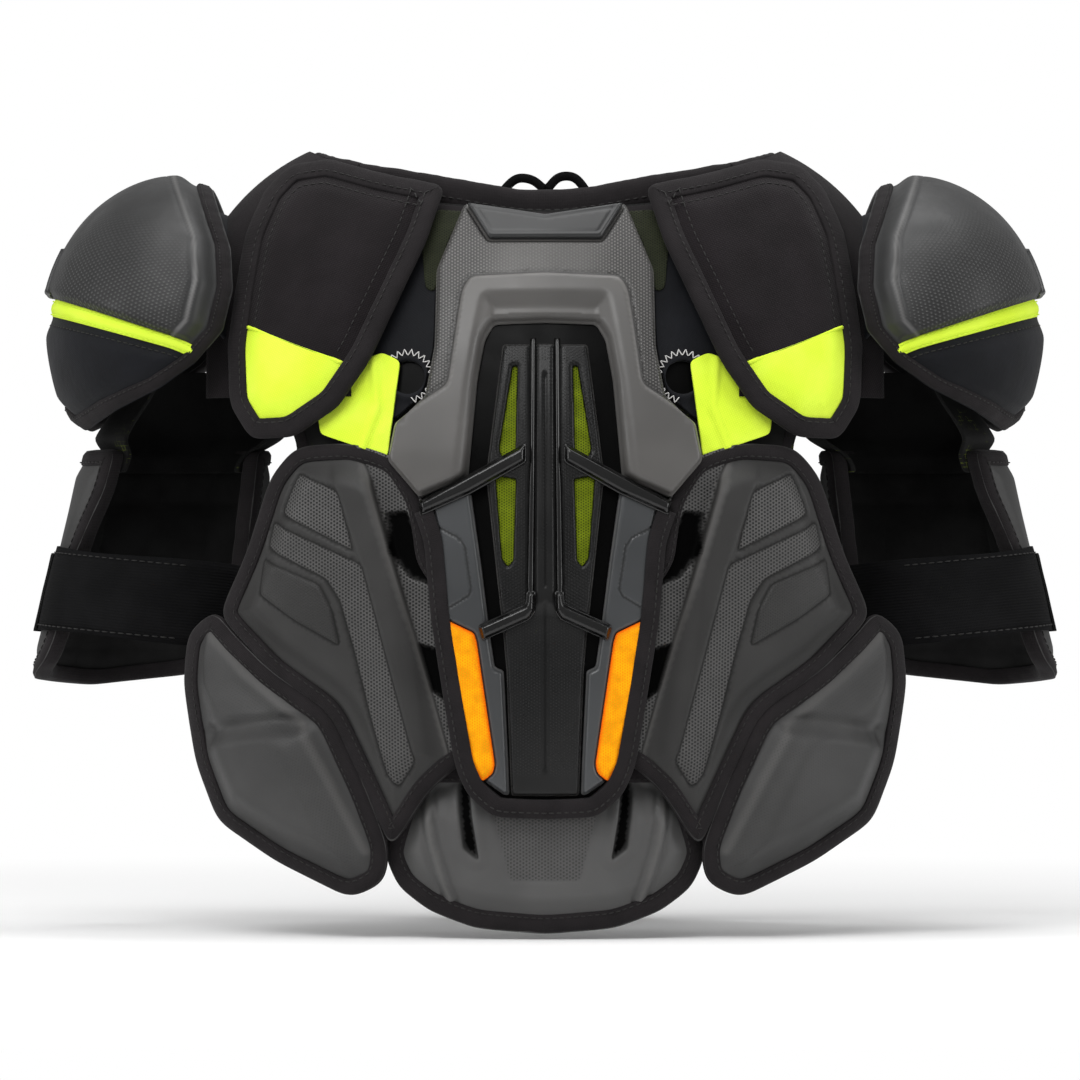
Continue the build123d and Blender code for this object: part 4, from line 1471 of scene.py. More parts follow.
def arch_point(t, s, k):
    """A point of the arch: t from front edge to back edge, s from collar side to cap side."""
    x = ARCH_X[0] + (ARCH_X[1] - ARCH_X[0]) * s
    crest_z = float(form_height(x, 0.0, k)[0])
    if t < ARCH_CREST:
        side = -1
        z = ARCH_FRONT_Z + (crest_z - ARCH_FRONT_Z) * math.sin(math.pi / 2 * t / ARCH_CREST)
    else:
        side = 1
        fall = crest_z - min(ARCH_BACK_Z, crest_z - 6)
        z = crest_z - fall * (1 - math.cos(math.pi / 2 * (t - ARCH_CREST) / (1 - ARCH_CREST)))
    y = side * float(half_depth(z, k)) * math.sqrt(max(0.0, 1 - (x / float(half_width(z, k))) ** 2))
    # inside the collar it slides out to the collar's own outline
    collar_x, collar_y = COLLAR_HALF_WIDTH + 0.6, COLLAR_HALF_DEPTH + 0.6
    if math.hypot(x / collar_x, y / collar_y) < 1:
        x = collar_x * math.sqrt(max(0.0, 1 - (y / collar_y) ** 2))
        z = min(z, float(form_height(x, y, k)[0]))
    return (x, y + MIDDLE_Y, z)


def shoulder_arches():
    """The soft bridge over each shoulder, a saddle that runs front to back."""
    along, across = np.linspace(0, 1, 70), np.linspace(0, 1, 44)
    top, under = (np.array([[arch_point(t, s, k) for s in across] for t in along]) for k in (6.0, 1.0))
    arch = layered("shoulder_arch", top, under, (2.2, 4.5))
    dress_pair(arch, "front", "shoulder_arch_SIDE", KNIT)


CUFF_TURN = math.radians(66.0)   # how far the cloth reaches down the front and back of a shoulder
CUFF_X = (172.0, 202.0)          # its seam on the arch and its seam inside the cap
CUFF_REACH = 62.0                # how far its arch seam runs forward and back


def cap_cuffs():
    """The stretch cloth between each shoulder arch and the inside of its cap."""
    turn = np.linspace(-CUFF_TURN, CUFF_TURN, 60)
    arch_x, cap_x = (np.full(len(turn), x) for x in CUFF_X)
    arch_y = CUFF_REACH * np.sin(turn) / math.sin(CUFF_TURN)
    on_arch = np.stack([arch_x, arch_y, form_height(arch_x, arch_y, 3.5)], 1)
    # just inside the cap's lining
    cap_y = (CAP_RADII[1] - 8) * np.sin(turn)
    in_cap = np.stack([cap_x, cap_y, CAP_CENTRE[2] + (CAP_RADII[2] - 5) * np.cos(turn)], 1)
    share = np.linspace(0, 1, 16)[None, :, None]
    grid = on_arch[:, None] * (1 - share) + in_cap[:, None] * share
    grid[..., 1] += MIDDLE_Y
    down, across = np.gradient(grid, axis=(0, 1))
    normal = np.cross(down, across)
    normal /= np.linalg.norm(normal, axis=2)[..., None]
    cuff = layered("cap_cuff", grid + normal, grid - normal, (2.0, 3.0))
    blend_pair(cuff, STRETCH)


GUSSET = [
    (47, 394), (60, 366), (61.5, 320), (67, 294), (84, 279), (100, 285), (100, 330), (84, 372), (64, 398),
]
EYELET = (75.5, 302.5)
EYELET_RADIUS = 13.0
EYELET_ZIGZAG = (-80, 135)  # degrees from and to which the eyelet's stitching runs
ZIGZAG_POINTS = 29
MESH_STRIP = [(45, 396), (54, 378), (61, 350), (66, 352), (68, 375), (60, 397)]
TAB_FOLD = [(94, 312), (92, 285), (100, 264)]
TAB = [(79.5, 311), (83, 285), (86.5, 258), (100, 263), (124, 271), (126, 290), (112, 304), (90, 316)]


def gussets():
    loop = loop_of(GUSSET, 3.0, 1.6)
    hole = circle(EYELET, EYELET_RADIUS - 3.5)

    def top(plan):
        from_hole = distance(plan, hole)
        return 3.0 + 1.6 * smooth(from_hole, 5.5, 1.0) + 0.35 * wander(plan, 14, 6)

    made = pad("gusset", loop, torso, top, 1.0, 1.6, holes=[hole], rings=(0.6,),
               features=[circle(EYELET, EYELET_RADIUS - 1.5), circle(EYELET, EYELET_RADIUS)])
    dress_pair(made, "front", "gussets", STRETCH)
    floor = pad("eyelet_floor", circle(EYELET, EYELET_RADIUS - 2.5), torso, 1.3, 0.6, 2.5)
    dress_pair(floor, "front", None, BLACK)
    strip = pad("mesh_strip", loop_of(MESH_STRIP, 1.5), torso, lambda p: 3.9 + 0.2 * wander(p, 9), 2.6, 1.5)
    dress_pair(strip, "front", None, STRIP)
    turn = np.radians(np.linspace(*EYELET_ZIGZAG, ZIGZAG_POINTS))
    radius = EYELET_RADIUS + np.where(np.arange(ZIGZAG_POINTS) % 2, 2.2, -1.4)
    zigzag = np.stack([EYELET[0] - radius * np.cos(turn), EYELET[1] + radius * np.sin(turn)], 1)
    zig = thread_line("eyelet_zigzag", zigzag, torso, 4.9, 0.3)
    dress_pair(zig, "front", None, WHITE_THREAD)


def lime_tabs():
    loop = loop_of(TAB, 2.0, 1.5)

    def top(plan):
        fold = smooth(np.abs(side_of(plan, TAB_FOLD)), 3.5, 0.5)
        return 5.4 + 1.4 * fold + 0.5 * wander(plan, 10, 9)

    tab = pad("lime_tab", loop, torso, top, 4.2, 1.4, rings=(0.5, 1.2))
    dress_pair(tab, "front", "lime_tabs", LIME)


FLAP = [
    (55, 405), (65, 374), (80, 342), (95, 310), (112, 285), (136, 269), (159, 268), (170.5, 286),
    (172, 318), (167.5, 352), (163, 380), (153, 404), (140, 418), (118, 421), (88, 412),
]
TOE_LINE = [(60, 287), (104, 306), (210, 347)]
FLAP_EDGE = 12.0           # top of the cushion where its tape is sewn
FLAP_SWELL = 1.4           # how far the cloth simulation may puff it
WELT_SECTION = [(-1.1, 9.6), (-1.0, 13.0), (0, 13.6), (1.0, 13.0), (1.1, 9.6)]


def collar_clear(plan, k):
    """The torso surface, kept outside the collar band."""
    points = torso(plan, k)
    half_x, half_y = COLLAR_HALF_WIDTH + 1.5, COLLAR_HALF_DEPTH + 1.5
    y = points[:, 1] - MIDDLE_Y
    reach = np.hypot(points[:, 0] / half_x, y / half_y)
    push = np.where((reach < 1) & (points[:, 2] > 370), 1 / np.maximum(reach, 1e-6), 1.0)
    points[:, 0] *= push
    points[:, 1] = MIDDLE_Y + y * push
    return points


def flaps():
    """The knit cushions over the collar's sides, with a lime toe each."""
    loop = loop_of(FLAP, 3.5)

    def crown(plan):
        return 3.6 * smooth(distance(plan, loop), 6, 22)

    def crowned(plan):
        return FLAP_EDGE + crown(plan) + 0.25 * wander(plan, 22, 8)

    def on_crown(plan, k):
        return collar_clear(plan, k + crown(plan))

    whole = pad("flap_cushion", loop, collar_clear, crowned, 9.2, 2.2)
    puffed(whole, loop, FLAP_SWELL)
    toe, main = split_along(whole, TOE_LINE, "flap_toe", "flap")
    dress_pair(main, "flap_SIDE", "flap_SIDE", KNIT)
    dress_pair(toe, "flap_SIDE", "flap_toe_SIDE", LIME)
    section = tape_section(BINDING, FLAP_EDGE + FLAP_SWELL, 8.6)
    tape = sweep("flap_tape", loop, section, collar_clear, ripple=0.3, seed=13)
    dress_pair(tape, "flap_SIDE", "flap_binding_SIDE", TAPE)
    outer = stitches("flap_stitches_1", inset(loop, 7.4), collar_clear, FLAP_EDGE + 2.5)
    dress_pair(outer, "flap_SIDE", None, DARK_THREAD)
    ring = inset(loop, 15.0)
    fold = longest_run(ring, side_of(ring, TOE_LINE) < -3.0)
    inner = stitches("flap_stitches_2", fold, collar_clear, FLAP_EDGE + 3.1, closed=False)
    dress_pair(inner, "flap_SIDE", None, DARK_THREAD)
    cut = within(resampled(TOE_LINE, 1.2, False), inset(loop, BINDING))
    welt = sweep("flap_toe_seam", cut, WELT_SECTION, on_crown, closed=False)
    dress_pair(welt, "flap_SIDE", None, LIME)


def split_along(piece, line, name_right, name_left):
    """Two pieces from one front piece, cut cleanly along an open plan line."""
    line = np.asarray(line, float)
    co = vertices_of(piece)
    plan = co[:, [0, 2]]
    beyond = side_of(plan, line) > 0
    faces = [list(polygon.vertices) for polygon in piece.data.polygons]
    chosen = [np.mean(beyond[face]) >= 0.5 for face in faces]
    groups = [np.unique([v for face, pick in zip(faces, chosen) if pick == want for v in face])
              for want in (True, False)]
    # corners shared by both groups slide along the torso surface onto the line
    shared = np.intersect1d(*groups)
    onto = nearest_on(plan[shared], line)
    co[shared] += torso(onto, PANEL_TOP) - torso(plan[shared], PANEL_TOP)
    made = []
    for name, want, used in ((name_right, True, groups[0]), (name_left, False, groups[1])):
        where = {int(v): i for i, v in enumerate(used)}
        kept = [[where[v] for v in face] for face, pick in zip(faces, chosen) if pick == want]
        made.append(new_piece(name, co[used], kept, cloth_plan(co[used][:, [0, 2]])))
    bpy.data.objects.remove(piece)
    return made


# ---------------------------------------------------------------- cloth simulation
def puffed(piece, loop, cap, voxel=2.6, pressure=4.0, frames=16):
    """Swells a cushion by cloth simulation. Its points move at most cap mm and stay put at the taped edge."""
    remesh = piece.modifiers.new("voxel", "REMESH")
    remesh.mode = "VOXEL"
    remesh.voxel_size = voxel * MM
    bake_modifiers(piece)
    start = vertices_of(piece)
    cloth = piece.modifiers.new("cloth", "CLOTH")
    cloth.settings.use_pressure = True
    cloth.settings.uniform_pressure_force = pressure
    cloth.settings.effector_weights.gravity = 0
    cloth.settings.quality = 4
    cloth.settings.tension_stiffness = 12
    cloth.settings.bending_stiffness = 0.3
    scene = bpy.context.scene
    cloth.point_cache.frame_start, cloth.point_cache.frame_end = 1, frames
    for at in range(1, frames + 1):
        scene.frame_set(at)
    bake_modifiers(piece)
    scene.frame_set(1)
    moved = vertices_of(piece) - start
    far = np.linalg.norm(moved, axis=1)
    scale = np.minimum(1.0, cap / np.maximum(far, 1e-9))
    scale *= smooth(depth_in(start[:, [0, 2]], loop), BINDING - 2, BINDING + 8)
    settled = start + moved * scale[:, None]
    piece.data.vertices.foreach_set("co", (settled * MM).ravel())
    finer = piece.modifiers.new("finer", "SUBSURF")
    finer.levels = finer.render_levels = 1
    bake_modifiers(piece)
    piece.data.polygons.foreach_set("use_smooth", [True] * len(piece.data.polygons))


def bake_modifiers(piece):
    """Replaces a piece's mesh with what its modifiers make of it."""
    graph = bpy.context.evaluated_depsgraph_get()
    mesh = bpy.data.meshes.new_from_object(piece.evaluated_get(graph))
    old = piece.data
    piece.modifiers.clear()
    piece.data = mesh
    bpy.data.meshes.remove(old)


# ---------------------------------------------------------------- shoulder caps
CAP_FRONT_RIM = [
    (186, 415), (178, 392), (170.5, 370), (169, 348), (174, 326), (188, 309), (208, 295), (233, 283),
    (250, 273),
]
CAP_STRIPE = [(166, 299.5), (200, 316), (300, 344)]
STRIPE_WIDTH = 9.5
CAP_THICK = 8.0
CAP_BADGE = [(-14, -12), (15, -14), (14, 13), (-13, 13)]


def cap_points(points, side=-1):
    dense = resampled(points, 1.0, False)
    return cap_plan(dense[:, 0], dense[:, 1], side)


def cap_outline():
    """The cap's whole rim: down the front, along the lower edge, up the back, over the top."""
    front = cap_points(CAP_FRONT_RIM)
    back = cap_points(CAP_FRONT_RIM, 1)[::-1]
    top = np.linspace(back[-1], front[0], 24)[1:-1]
    low = np.linspace(front[-1], back[0], 90)[1:-1]
    sag = np.sin(np.linspace(0, math.pi, len(low)))
    low[:, 1] = low[:, 1] * (1 - sag) + sag * cap_plan(268.5, 269.5)[1]
    return loop_of(np.vstack([front, low, back, top]), 3.0, 1.6)


def cap_stripe_line():
    """The stripe in the cap's plan, from the front rim round the side to the back rim."""
    front = cap_points(CAP_STRIPE)
    front = front[front[:, 0] < -2]
    back = front[::-1] * np.array([-1, 1])
    return open_eased(resampled(np.vstack([front, back]), 1.5, False), 3.0)


def caps():
    loop = cap_outline()
    stripe = cap_stripe_line()
    above = offset_open(stripe, STRIPE_WIDTH)
    cap_foam(loop, above)
    cap_stripe(loop, stripe, above)
    cap_skirt(loop, stripe)
    cap_lining(loop)
    section = tape_section(BINDING + 0.5, 1.0, -CAP_THICK, 1.6)
    tape = sweep("cap_tape", loop, section, cap_surface, ripple=0.3, seed=21)
    dress_pair(tape, "cap_SIDE", "cap_binding_SIDE", TAPE)
    seam = stitches("cap_stitches", inset(loop, 8.6), cap_surface, 2.5)
    dress_pair(seam, "cap_SIDE", None, DARK_THREAD)
    cap_badge()


def cap_foam(loop, above):
    """The moulded foam above the stripe, with a bevelled rim."""
    part = cut_loop(loop, above, True)

    def top(plan):
        from_rim = distance(plan, loop)
        crown = smooth(from_rim, BINDING, BINDING + 13)
        bevel = 1.0 + 5.5 * crown
        groove = 0.9 * smooth(np.abs(from_rim - 26.5), 1.8, 0.2)
        seam = smooth(distance(plan, above, False), 0, 5)
        return bevel * (0.35 + 0.65 * seam) - groove + 0.2 * wander(plan, 20, 4)

    def paint(plan):
        from_rim = distance(plan, loop)
        # scales are clear towards the front and low, and fade out over the side
        angle = np.clip((-plan[:, 0] - 8) / 60, 0, 1)
        fade = smooth(angle, 0.05, 0.7) * smooth(from_rim, 26, 32) * smooth(plan[:, 1], 86, 20)
        # lighter along the lip above the groove: wear and a painted highlight
        worn = smooth(np.abs(from_rim - 24.5), 1.6, 0.3)
        return {"dots": 0.85 * fade, "worn": 0.55 * worn}

    foam_part = pad("cap_shell", part, cap_surface, top, -CAP_THICK, 1.6, paint=paint)
    dress_pair(foam_part, "cap_SIDE", "cap_shell_SIDE", CAP_FOAM)


def cap_stripe(loop, stripe, above):
    rim = inset(loop, 7.0)
    low, high = within(stripe, rim), within(above, rim)
    band = loop_of(np.vstack([low, high[::-1]]), 0.5, 1.2)
    middle = offset_open(stripe, STRIPE_WIDTH / 2)

    def top(plan):
        crest = smooth(distance(plan, middle, False), STRIPE_WIDTH / 2, 0.6)
        return 1.2 + 1.4 * crest + 0.12 * wander(plan, 9)

    made = pad("cap_stripe", band, cap_surface, top, -CAP_THICK + 0.5, 1.2, rings=(0.5, 1.2))
    dress_pair(made, "cap_SIDE", "cap_stripe_SIDE", LIME)
    for i, up in enumerate((1.3, STRIPE_WIDTH - 1.3)):
        row = within(offset_open(stripe, up), inset(loop, BINDING))
        seam = stitches(f"stripe_stitches_{i + 1}", row, cap_surface, 2.1, False, 2.3, 3.4, 0.3)
        dress_pair(seam, "cap_SIDE", None, LIME)


def cap_skirt(loop, stripe):
    part = cut_loop(loop, stripe, False)

    def top(plan):
        fall = smooth(distance(plan, stripe, False), 0, 12)
        from_tape = smooth(distance(plan, loop), BINDING * 0.6, BINDING + 8)
        return 0.8 + 3.0 * fall * from_tape + 0.45 * wander(plan, 17, 3)

    made = pad("cap_skirt", part, cap_surface, top, -CAP_THICK + 1.0, 1.6)
    dress_pair(made, "cap_SIDE", "cap_skirt_SIDE", STRETCH)
    row = within(offset_open(stripe, -4.5), inset(loop, BINDING))
    seam = stitches("skirt_stitches", row, cap_surface, 1.9, False)
    dress_pair(seam, "cap_SIDE", None, DARK_THREAD)


def cap_lining(loop):
    """The quilted lining inside the cap."""
    inner = inset(loop, 3.0)

    def under(plan):
        return -10.0 - 3.4 * quilted(plan, 26, 26) * smooth(distance(plan, loop), 4, 14)

    made = pad("cap_liner", inner, cap_surface, -CAP_THICK - 0.4, under, 2.6,
               paint=lambda p: {"print": 0.6 * np.ones(len(p))})
    dress_pair(made, "cap_SIDE", "cap_liner_SIDE", LINER)


def cap_badge():
    """A blank raised plate on the cap's side."""
    _, middle_up = cap_plan(262.0, 358.0)
    loop = loop_of([(x, z + middle_up) for x, z in CAP_BADGE], 1.6, 0.9)

    def top(plan):
        from_edge = distance(plan, loop)
        return 6.4 + 1.6 * smooth(from_edge, 0, 1.2) - 0.5 * smooth(from_edge, 2.2, 3.4)

    made = pad("cap_badge", loop, cap_surface, top, 4.5, 0.9, rings=(0.4, 0.9, 1.4))
    dress_pair(made, "cap_SIDE", "cap_badge_SIDE", BADGE)


# ---------------------------------------------------------------- upper-arm guards
GUARD_EDGE = [
    (49, 262), (47, 240), (30, 200), (30, 160), (22, 146), (0, 137), (-60, 133), (-120, 139), (-170, 158),
    (-204, 180), (-206, 262),
]
GUARD_TAPE = 8.0


def bicep_guards():
    loop = loop_of([(guard_turn(turn), z) for turn, z in GUARD_EDGE], 4.0, 1.8)

    def shell_top(plan):
        rise = smooth(distance(plan, loop), GUARD_TAPE * 0.7, GUARD_TAPE + 8)
        return 1.0 + 2.4 * rise + 0.25 * wander(plan, 18, 5)

    shell = pad("bicep_shell", loop, guard_surface, shell_top, -1.0, 2.0)
    dress_pair(shell, "bicep_SIDE", "bicep_shell_SIDE", POD_FOAM)

    def inner(plan):
        puff = quilted(plan, 36, 40, 7) * smooth(distance(plan, loop), 5, 16)
        return -6.5 - 3.2 * puff + 0.4 * wander(plan, 24, 2)

    lining = pad("bicep_pad", inset(loop, 1.0), guard_surface, -1.2, inner, 2.2, paint=lining_print)
    dress_pair(lining, "bicep_SIDE", "bicep_pad_SIDE", LINER)
    tape = sweep("bicep_tape", loop, tape_section(GUARD_TAPE, 1.6, -8.0), guard_surface, ripple=0.35, seed=31)
    dress_pair(tape, "bicep_SIDE", None, TAPE)
    seam = stitches("bicep_stitches", inset(loop, 6.4), guard_surface, 2.9)
    dress_pair(seam, "bicep_SIDE", None, DARK_THREAD)
    guard_strap()
    arm_hangers()


HANGER_TOP = 306.0
HANGER_FOOT = 250.0


def hanger_surface(plan, k):
    """The guard's tube carried upwards: wider on the body side, tucked into the cap outside."""
    points = guard_surface(plan, k)
    turn, z = plan[:, 0] / GUARD_PLAN_RADIUS, plan[:, 1]
    bodyward, outward = np.clip(-np.cos(turn), 0, 1), np.clip(np.cos(turn), 0, 1)
    points[:, 0] -= 11.0 * bodyward * smooth(z, HANGER_FOOT, HANGER_FOOT + 24)
    points[:, 0] -= 14.0 * outward * smooth(z, HANGER_FOOT + 16, HANGER_TOP - 6)
    return points


def arm_hangers():
    """The lining cloth that joins each upper-arm guard to the inside of its cap."""
    corners = [
        (guard_turn(50), HANGER_FOOT), (guard_turn(58), HANGER_TOP), (guard_turn(-214), HANGER_TOP),
        (guard_turn(-208), HANGER_FOOT),
    ]
    loop = loop_of(corners, 3.0, 2.0)

    def under(plan):
        # inside the guard's padding at the foot, out to the guard's own face above it
        return -12.0 + 8.0 * smooth(plan[:, 1], HANGER_FOOT + 8, HANGER_FOOT + 20) + 0.8 * wander(plan, 15, 6)

    def top(plan):
        return under(plan) + 3.0

    cloth = pad("arm_hanger", loop, hanger_surface, top, under, 2.2, rings=(0.6, 1.8), paint=lining_print)
    blend_pair(cloth, LINER)


STRAP_WIDTH = 45.0
STRAP_FACES = (5.4, 3.2)   # offsets of its outer and inner face
ARM_TAB = [(-26, 162), (2, 163), (4, 168), (4, 201), (0, 206), (-26, 205)]


def strap_middle(turn):
    """Height of the strap's middle at a turn: lower towards the body, higher outside."""
    return 181.0 + 5.5 * np.cos(turn)


def guard_strap():
    """The elastic strap: a closed ring round the guard that spans its open front."""
    count, across = 260, 9
    turn = np.linspace(0, 2 * math.pi, count, endpoint=False)
    span = np.linspace(-1, 1, across)
    sag = 0.5 * np.sin(turn * 5) + 0.35 * np.sin(turn * 11 + 1)
    rings = []
    for face, order in zip(STRAP_FACES, (span, span[::-1])):
        for s in order:
            z = strap_middle(turn) + s * STRAP_WIDTH / 2 + 0.7 * np.sin(turn * 3 + 2) * s
            curl = 0.5 * (1 - s * s) - 0.4 * abs(s) ** 8
            plan = np.stack([turn * GUARD_PLAN_RADIUS, z], 1)
            rings.append(guard_surface(plan, face + 0.35 * sag * (1 - s * s) + curl * 0.6))
    around = len(rings)
    uv = np.stack([np.repeat(turn * GUARD_PLAN_RADIUS, around), np.tile(np.arange(around) * 5.0, count)], 1)
    ring = tube("bicep_strap", rings, True, uv)
    dress_pair(ring, "bicep_SIDE", "bicep_strap_SIDE", ELASTIC)
    sewn = np.linspace(-0.6, 1.9, 90)
    for i, s in enumerate((-0.88, 0.88)):
        line = np.stack([sewn * GUARD_PLAN_RADIUS, strap_middle(sewn) + s * STRAP_WIDTH / 2], 1)
        seam = stitches(f"strap_stitches_{i + 1}", line, guard_surface, 5.6, closed=False)
        dress_pair(seam, "bicep_SIDE", None, DARK_THREAD)
    tab = pad("bicep_tab", loop_of(ARM_TAB, 2.0, 1.5), guard_surface,
              lambda p: 7.6 + 0.2 * wander(p, 11), 6.0, 1.5, rings=(0.5,))
    dress_pair(tab, "bicep_SIDE", "bicep_tab_SIDE", HOOK)


# ---------------------------------------------------------------- back
BACK = [
    (0, 96), (146, 96), (144, 130), (140, 200), (137, 262), (132, 310), (120, 352), (104, 370), (0, 370),
]
SCAPULA = [
    (36, 356), (90, 357), (105, 342), (117, 306), (123, 240), (127, 170), (129, 112), (64, 112), (50, 150),
    (38, 240),
]
SPINE = [(0, 110), (57, 111), (44, 150), (32, 240), (30, 356), (0, 357)]
LOWER_BACK = [(0, 0.5), (60, 0.5), (80, 20), (104, 46), (134, 64), (144, 97), (0, 97)]
LOWER_BACK_CHANNELS = (-96, -64, -32, 0, 32, 64, 96)
YOKE = [
    (0, 350), (94, 350), (114, 334), (130, 336), (152, 362), (178, 388), (166, 402), (150, 398), (112, 398),
    (60, 384), (0, 382),
]


def back():
    loop = loop_of(both_sides(BACK), 6.0, 2.4)
    liner = pad("back_liner", loop, torso_back, lambda p: -0.5 + 1.2 * smooth(distance(p, loop), 3, 14),
                lambda p: -7.5 - 0.4 * wander(p, 20), 2.6, paint=lining_print)
    dress(liner, "back", "back_liner", LINER)
    tape = sweep("back_tape", loop, tape_section(BINDING, 0.6, -7.6), torso_back, ripple=0.3, seed=41)
    dress(tape, "back", "back_binding", TAPE)
    seam = stitches("back_stitches", inset(loop, 8.2), torso_back, 1.9)
    dress(seam, "back", None, DARK_THREAD)
    back_yoke()
    scapula_pads()
    spine_guard()
    lower_back()
    torso_straps()


def back_yoke():
    """The cloth that bridges the shoulder arches and the top of the back, under both."""
    loop = loop_of(both_sides(YOKE), 4.0, 2.2)

    def top(plan):
        return -8.8 + 9.2 * smooth(plan[:, 1], 370, 386) + 0.3 * wander(plan, 24)

    yoke = pad("back_yoke", loop, torso_back, top, lambda plan: top(plan) - 1.6, 2.2, rings=(0.6,))
    yoke.data.materials.append(KNIT)
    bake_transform(yoke)


SCAPULA_GROOVES = (148, 186, 224, 262, 300, 334)
SCAPULA_RIDGE = [(92, 140), (84, 230), (74, 330)]


def scapula_pads():
    loop = loop_of(SCAPULA, 7.0, 1.8)

    def top(plan):
        from_edge = distance(plan, loop)
        k = 3.0 + 8.0 * smooth(from_edge, 1, 14)
        k += 1.8 * smooth(distance(plan, SCAPULA_RIDGE, False), 9, 3)
        for z in SCAPULA_GROOVES:
            slanted = np.abs(plan[:, 1] - z + 0.35 * (plan[:, 0] - 80))
            k -= 2.6 * smooth(slanted, 2.4, 0.4) * smooth(from_edge, 3, 9)
        return k + 0.2 * wander(plan, 20)

    def paint(plan):
        return {"dots": 0.6 * smooth(distance(plan, loop), 8, 18)}

    made = pad("scapula_pad", loop, torso_back, top, 0.9, 1.8, paint=paint)
    dress_pair(made, "back", "scapula_pads", CAP_FOAM)
    seam = stitches("scapula_stitches", inset(loop, -2.6), torso_back, 1.2)
    dress_pair(seam, "back", None, DARK_THREAD)


SPINE_JOINTS = (140.0, 176.0, 212.0, 250.0, 290.0, 326.0)


def spine_guard():
    """Overlapping vertebra plates down the middle of the back."""
    loop = loop_of(both_sides(SPINE), 6.0, 1.6)

    def top(plan):
        from_edge = distance(plan, loop)
        k = 5.0 + 7.5 * smooth(from_edge, 1, 12) + 2.2 * smooth(np.abs(plan[:, 0]), 9, 3)
        bowed = plan[:, 1] + 0.006 * plan[:, 0] ** 2
        for z in SPINE_JOINTS:
            k -= 3.4 * smooth(np.abs(bowed - z), 2.6, 0.6) * smooth(from_edge, 2, 7)
        return k

    def paint(plan):
        inner = smooth(distance(plan, loop), 7, 12)
        return {"scales": inner * smooth(np.abs(plan[:, 0]), 12, 15)}

    made = pad("spine_guard", loop, torso_back, top, 1.2, 1.6, paint=paint)
    dress(made, "back", "spine_guard", STERNUM)


def lower_back():
    loop = loop_of(both_sides(LOWER_BACK), 7.0, 2.0)

    def top(plan):
        from_edge = distance(plan, loop)
        k = -0.5 + 6.0 * smooth(from_edge, 2, 14)
        for x in LOWER_BACK_CHANNELS:
            k -= 2.4 * smooth(np.abs(plan[:, 0] - x), 3.0, 0.5) * smooth(from_edge, 5, 13)
        return k + 0.35 * wander(plan, 22)

    made = pad("lower_back_pad", loop, torso_back, top, lambda p: -6.6 - 0.4 * wander(p, 20), 2.0)
    dress(made, "back", "lower_back_pad", KNIT)
    tape = sweep("lower_back_tape", loop, tape_section(BINDING, -0.2, -7.0), torso_back, ripple=0.3, seed=43)
    dress(tape, "back", None, TAPE)
    seam = stitches("lower_back_stitches", inset(loop, 8.2), torso_back, 1.2)
    dress(seam, "back", None, DARK_THREAD)


STRAP_TUCK = 20.0          # how far a side strap runs under the back, behind its hinge
STRAP_REACH = 46.0         # and forward of it, ending behind the rib pod


def torso_straps():
    """Side straps sewn under the lower corners of the back, free at the front."""
    low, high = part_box("torso_strap_left")
    hinge_y = high.y / MM
    middle_z = (low.z + high.z) / 2 / MM
    half_tall = (high.z - low.z) / 2 / MM - 0.4

    def on_side(plan, k):
        """Plan: y across, z up, on the wearer's left side."""
        y, z = plan[:, 0], plan[:, 1]
        a, b = half_width(z, 0), half_depth(z, 0)
        x = a * np.sqrt(np.clip(1 - ((y - MIDDLE_Y) / b) ** 2, 0.02, 1))
        normal = np.stack([x / a**2, (y - MIDDLE_Y) / b**2], 1)
        normal /= np.linalg.norm(normal, axis=1)[:, None]
        away = normal * np.broadcast_to(k, len(y))[:, None]
        return np.column_stack([x + away[:, 0], y + away[:, 1], z])

    front, rear, corner = hinge_y - STRAP_REACH, hinge_y + STRAP_TUCK, 5.0
    foot, head = middle_z - half_tall, middle_z + half_tall
    corners = [
        (rear, foot), (rear, head), (front + corner, head), (front, head - corner), (front, foot + corner),
        (front + corner, foot),
    ]
    strap = pad("torso_strap", loop_of(corners, 1.2, 1.6), on_side, lambda p: -3.9 + 0.3 * wander(p, 18),
                lambda p: -6.1 + 0.3 * wander(p, 18), 2.0, rings=(0.5,))
    blend_pair(strap, ELASTIC, "torso_strap_SIDE")
    near, far, low, high = front + 2, front + 24, middle_z - 13, middle_z + 13
    patch = [(near, low), (near, high), (far, high), (far, low)]
    tab = pad("torso_strap_tab", loop_of(patch, 1.5, 1.6), on_side, -3.0, -4.2, 2.0, rings=(0.5,))
    dress_pair(tab, "torso_strap_SIDE", None, HOOK)


# ---------------------------------------------------------------- build
def build():
    chest_liner()
    chest_panels()
    rib_pods()
    pod_seams()
    sternum()
    belly()
    collar()
    hang_loops()
    shoulder_arches()
    cap_cuffs()
    gussets()
    lime_tabs()
    flaps()
    caps()
    bicep_guards()
    back()


build()


# ---------------------------------------------------------------- floor, light and camera
SURROUND_LIGHT = 0.42
SURROUND_SEEN = 1.0
FLOOR_REACH = 1.4          # metres from the middle to the floor's edge
FLOOR_FADE = (0.3, 1.1)    # between these the floor melts into the surround
CAMERA_AWAY = 4.5
CAMERA_HEIGHT = 0.213
CAMERA_ASIDE = -0.00275
SENSOR_WIDTH = 36.0
FRAME_WIDTH = 0.594        # how wide the picture is at the middle of the pads


def surround_strength(tree):
    """Full strength where the camera looks straight at it, softer as a light."""
    seen = tree.nodes.new("ShaderNodeLightPath").outputs["Is Camera Ray"]
    strength = tree.nodes.new("ShaderNodeMapRange")
    strength.inputs["To Min"].default_value = SURROUND_LIGHT
    strength.inputs["To Max"].default_value = SURROUND_SEEN
    tree.links.new(seen, strength.inputs["Value"])
    return strength.outputs[0]


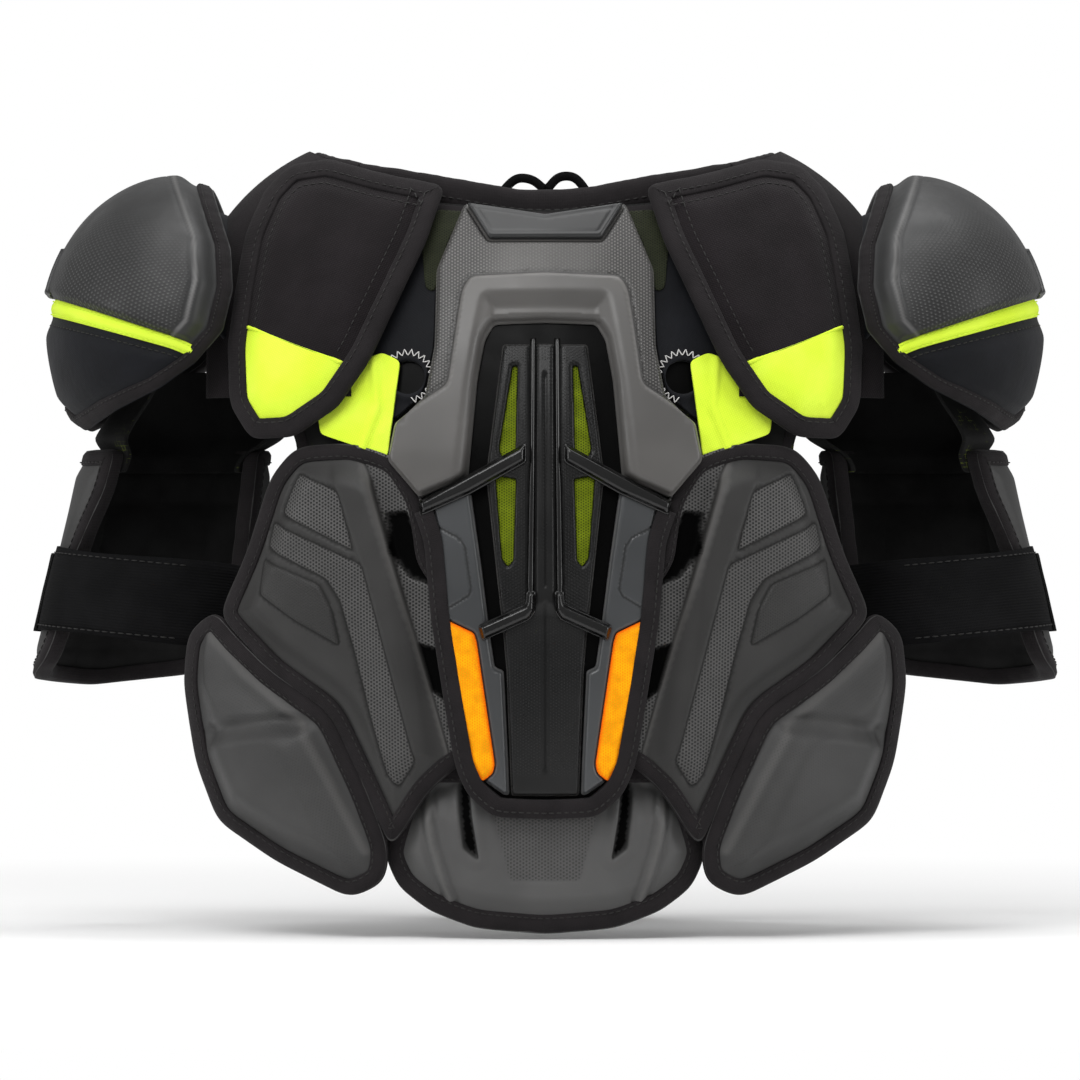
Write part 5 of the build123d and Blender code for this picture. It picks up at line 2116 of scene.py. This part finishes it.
def floor():
    """A pale round floor that melts into the white surround, open to view from any side."""
    rim = circle((0, 0), FLOOR_REACH / MM, 60.0)
    below = np.full(len(rim), -1.0)
    sheet = new_piece("floor", np.column_stack([rim, below]), [tuple(range(len(rim)))])
    s = Shader("paper")
    s.done(grey(0.92), 0.9)
    glow = s.node("Emission", (1.0, 1.0, 1.0, 1.0), surround_strength(s.tree))
    away = s.node("VectorMath", s.node("TexCoord").outputs["Object"], operation="LENGTH").outputs["Value"]
    melted = s.node("MixShader", s.span(away, *FLOOR_FADE), s.surface.outputs[0], glow.outputs[0])
    s.tree.links.new(melted.outputs[0], s.tree.nodes["Material Output"].inputs["Surface"])
    sheet.data.materials.append(s.material)


def soft_light(name, place, aim, size, power):
    lamp = bpy.data.lights.new(name, "AREA")
    lamp.shape = "RECTANGLE"
    lamp.size, lamp.size_y = size
    lamp.energy = power
    item = bpy.data.objects.new(name, lamp)
    item.location = place
    item.rotation_euler = (Vector(aim) - Vector(place)).to_track_quat("-Z", "Y").to_euler()
    bpy.context.scene.collection.objects.link(item)


def lights():
    soft_light("key", (-0.5, -1.5, 1.5), (0, 0, 0.25), (1.4, 0.9), 22)
    soft_light("top", (0.1, -0.1, 1.5), (0, 0, 0.3), (1.6, 1.0), 13)
    soft_light("left_side", (-1.5, -0.5, 0.5), (0, 0, 0.25), (0.6, 1.2), 7)
    soft_light("right_side", (1.5, -0.5, 0.5), (0, 0, 0.25), (0.6, 1.2), 9)
    studio()
    bpy.context.scene.view_settings.view_transform = "Standard"


def studio():
    """A white surround on every side."""
    world = bpy.data.worlds.new("studio")
    bpy.context.scene.world = world
    world.use_nodes = True
    tree = world.node_tree
    background = tree.nodes["Background"]
    background.inputs["Color"].default_value = (1, 1, 1, 1)
    tree.links.new(surround_strength(tree), background.inputs["Strength"])


def camera():
    data = bpy.data.cameras.new("camera")
    data.sensor_width = SENSOR_WIDTH
    data.lens = SENSOR_WIDTH * CAMERA_AWAY / FRAME_WIDTH
    item = bpy.data.objects.new("camera", data)
    item.location = (CAMERA_ASIDE, -CAMERA_AWAY, CAMERA_HEIGHT)
    item.rotation_euler = (math.pi / 2, 0, 0)
    bpy.context.scene.collection.objects.link(item)
    bpy.context.scene.camera = item


floor()
lights()
camera()
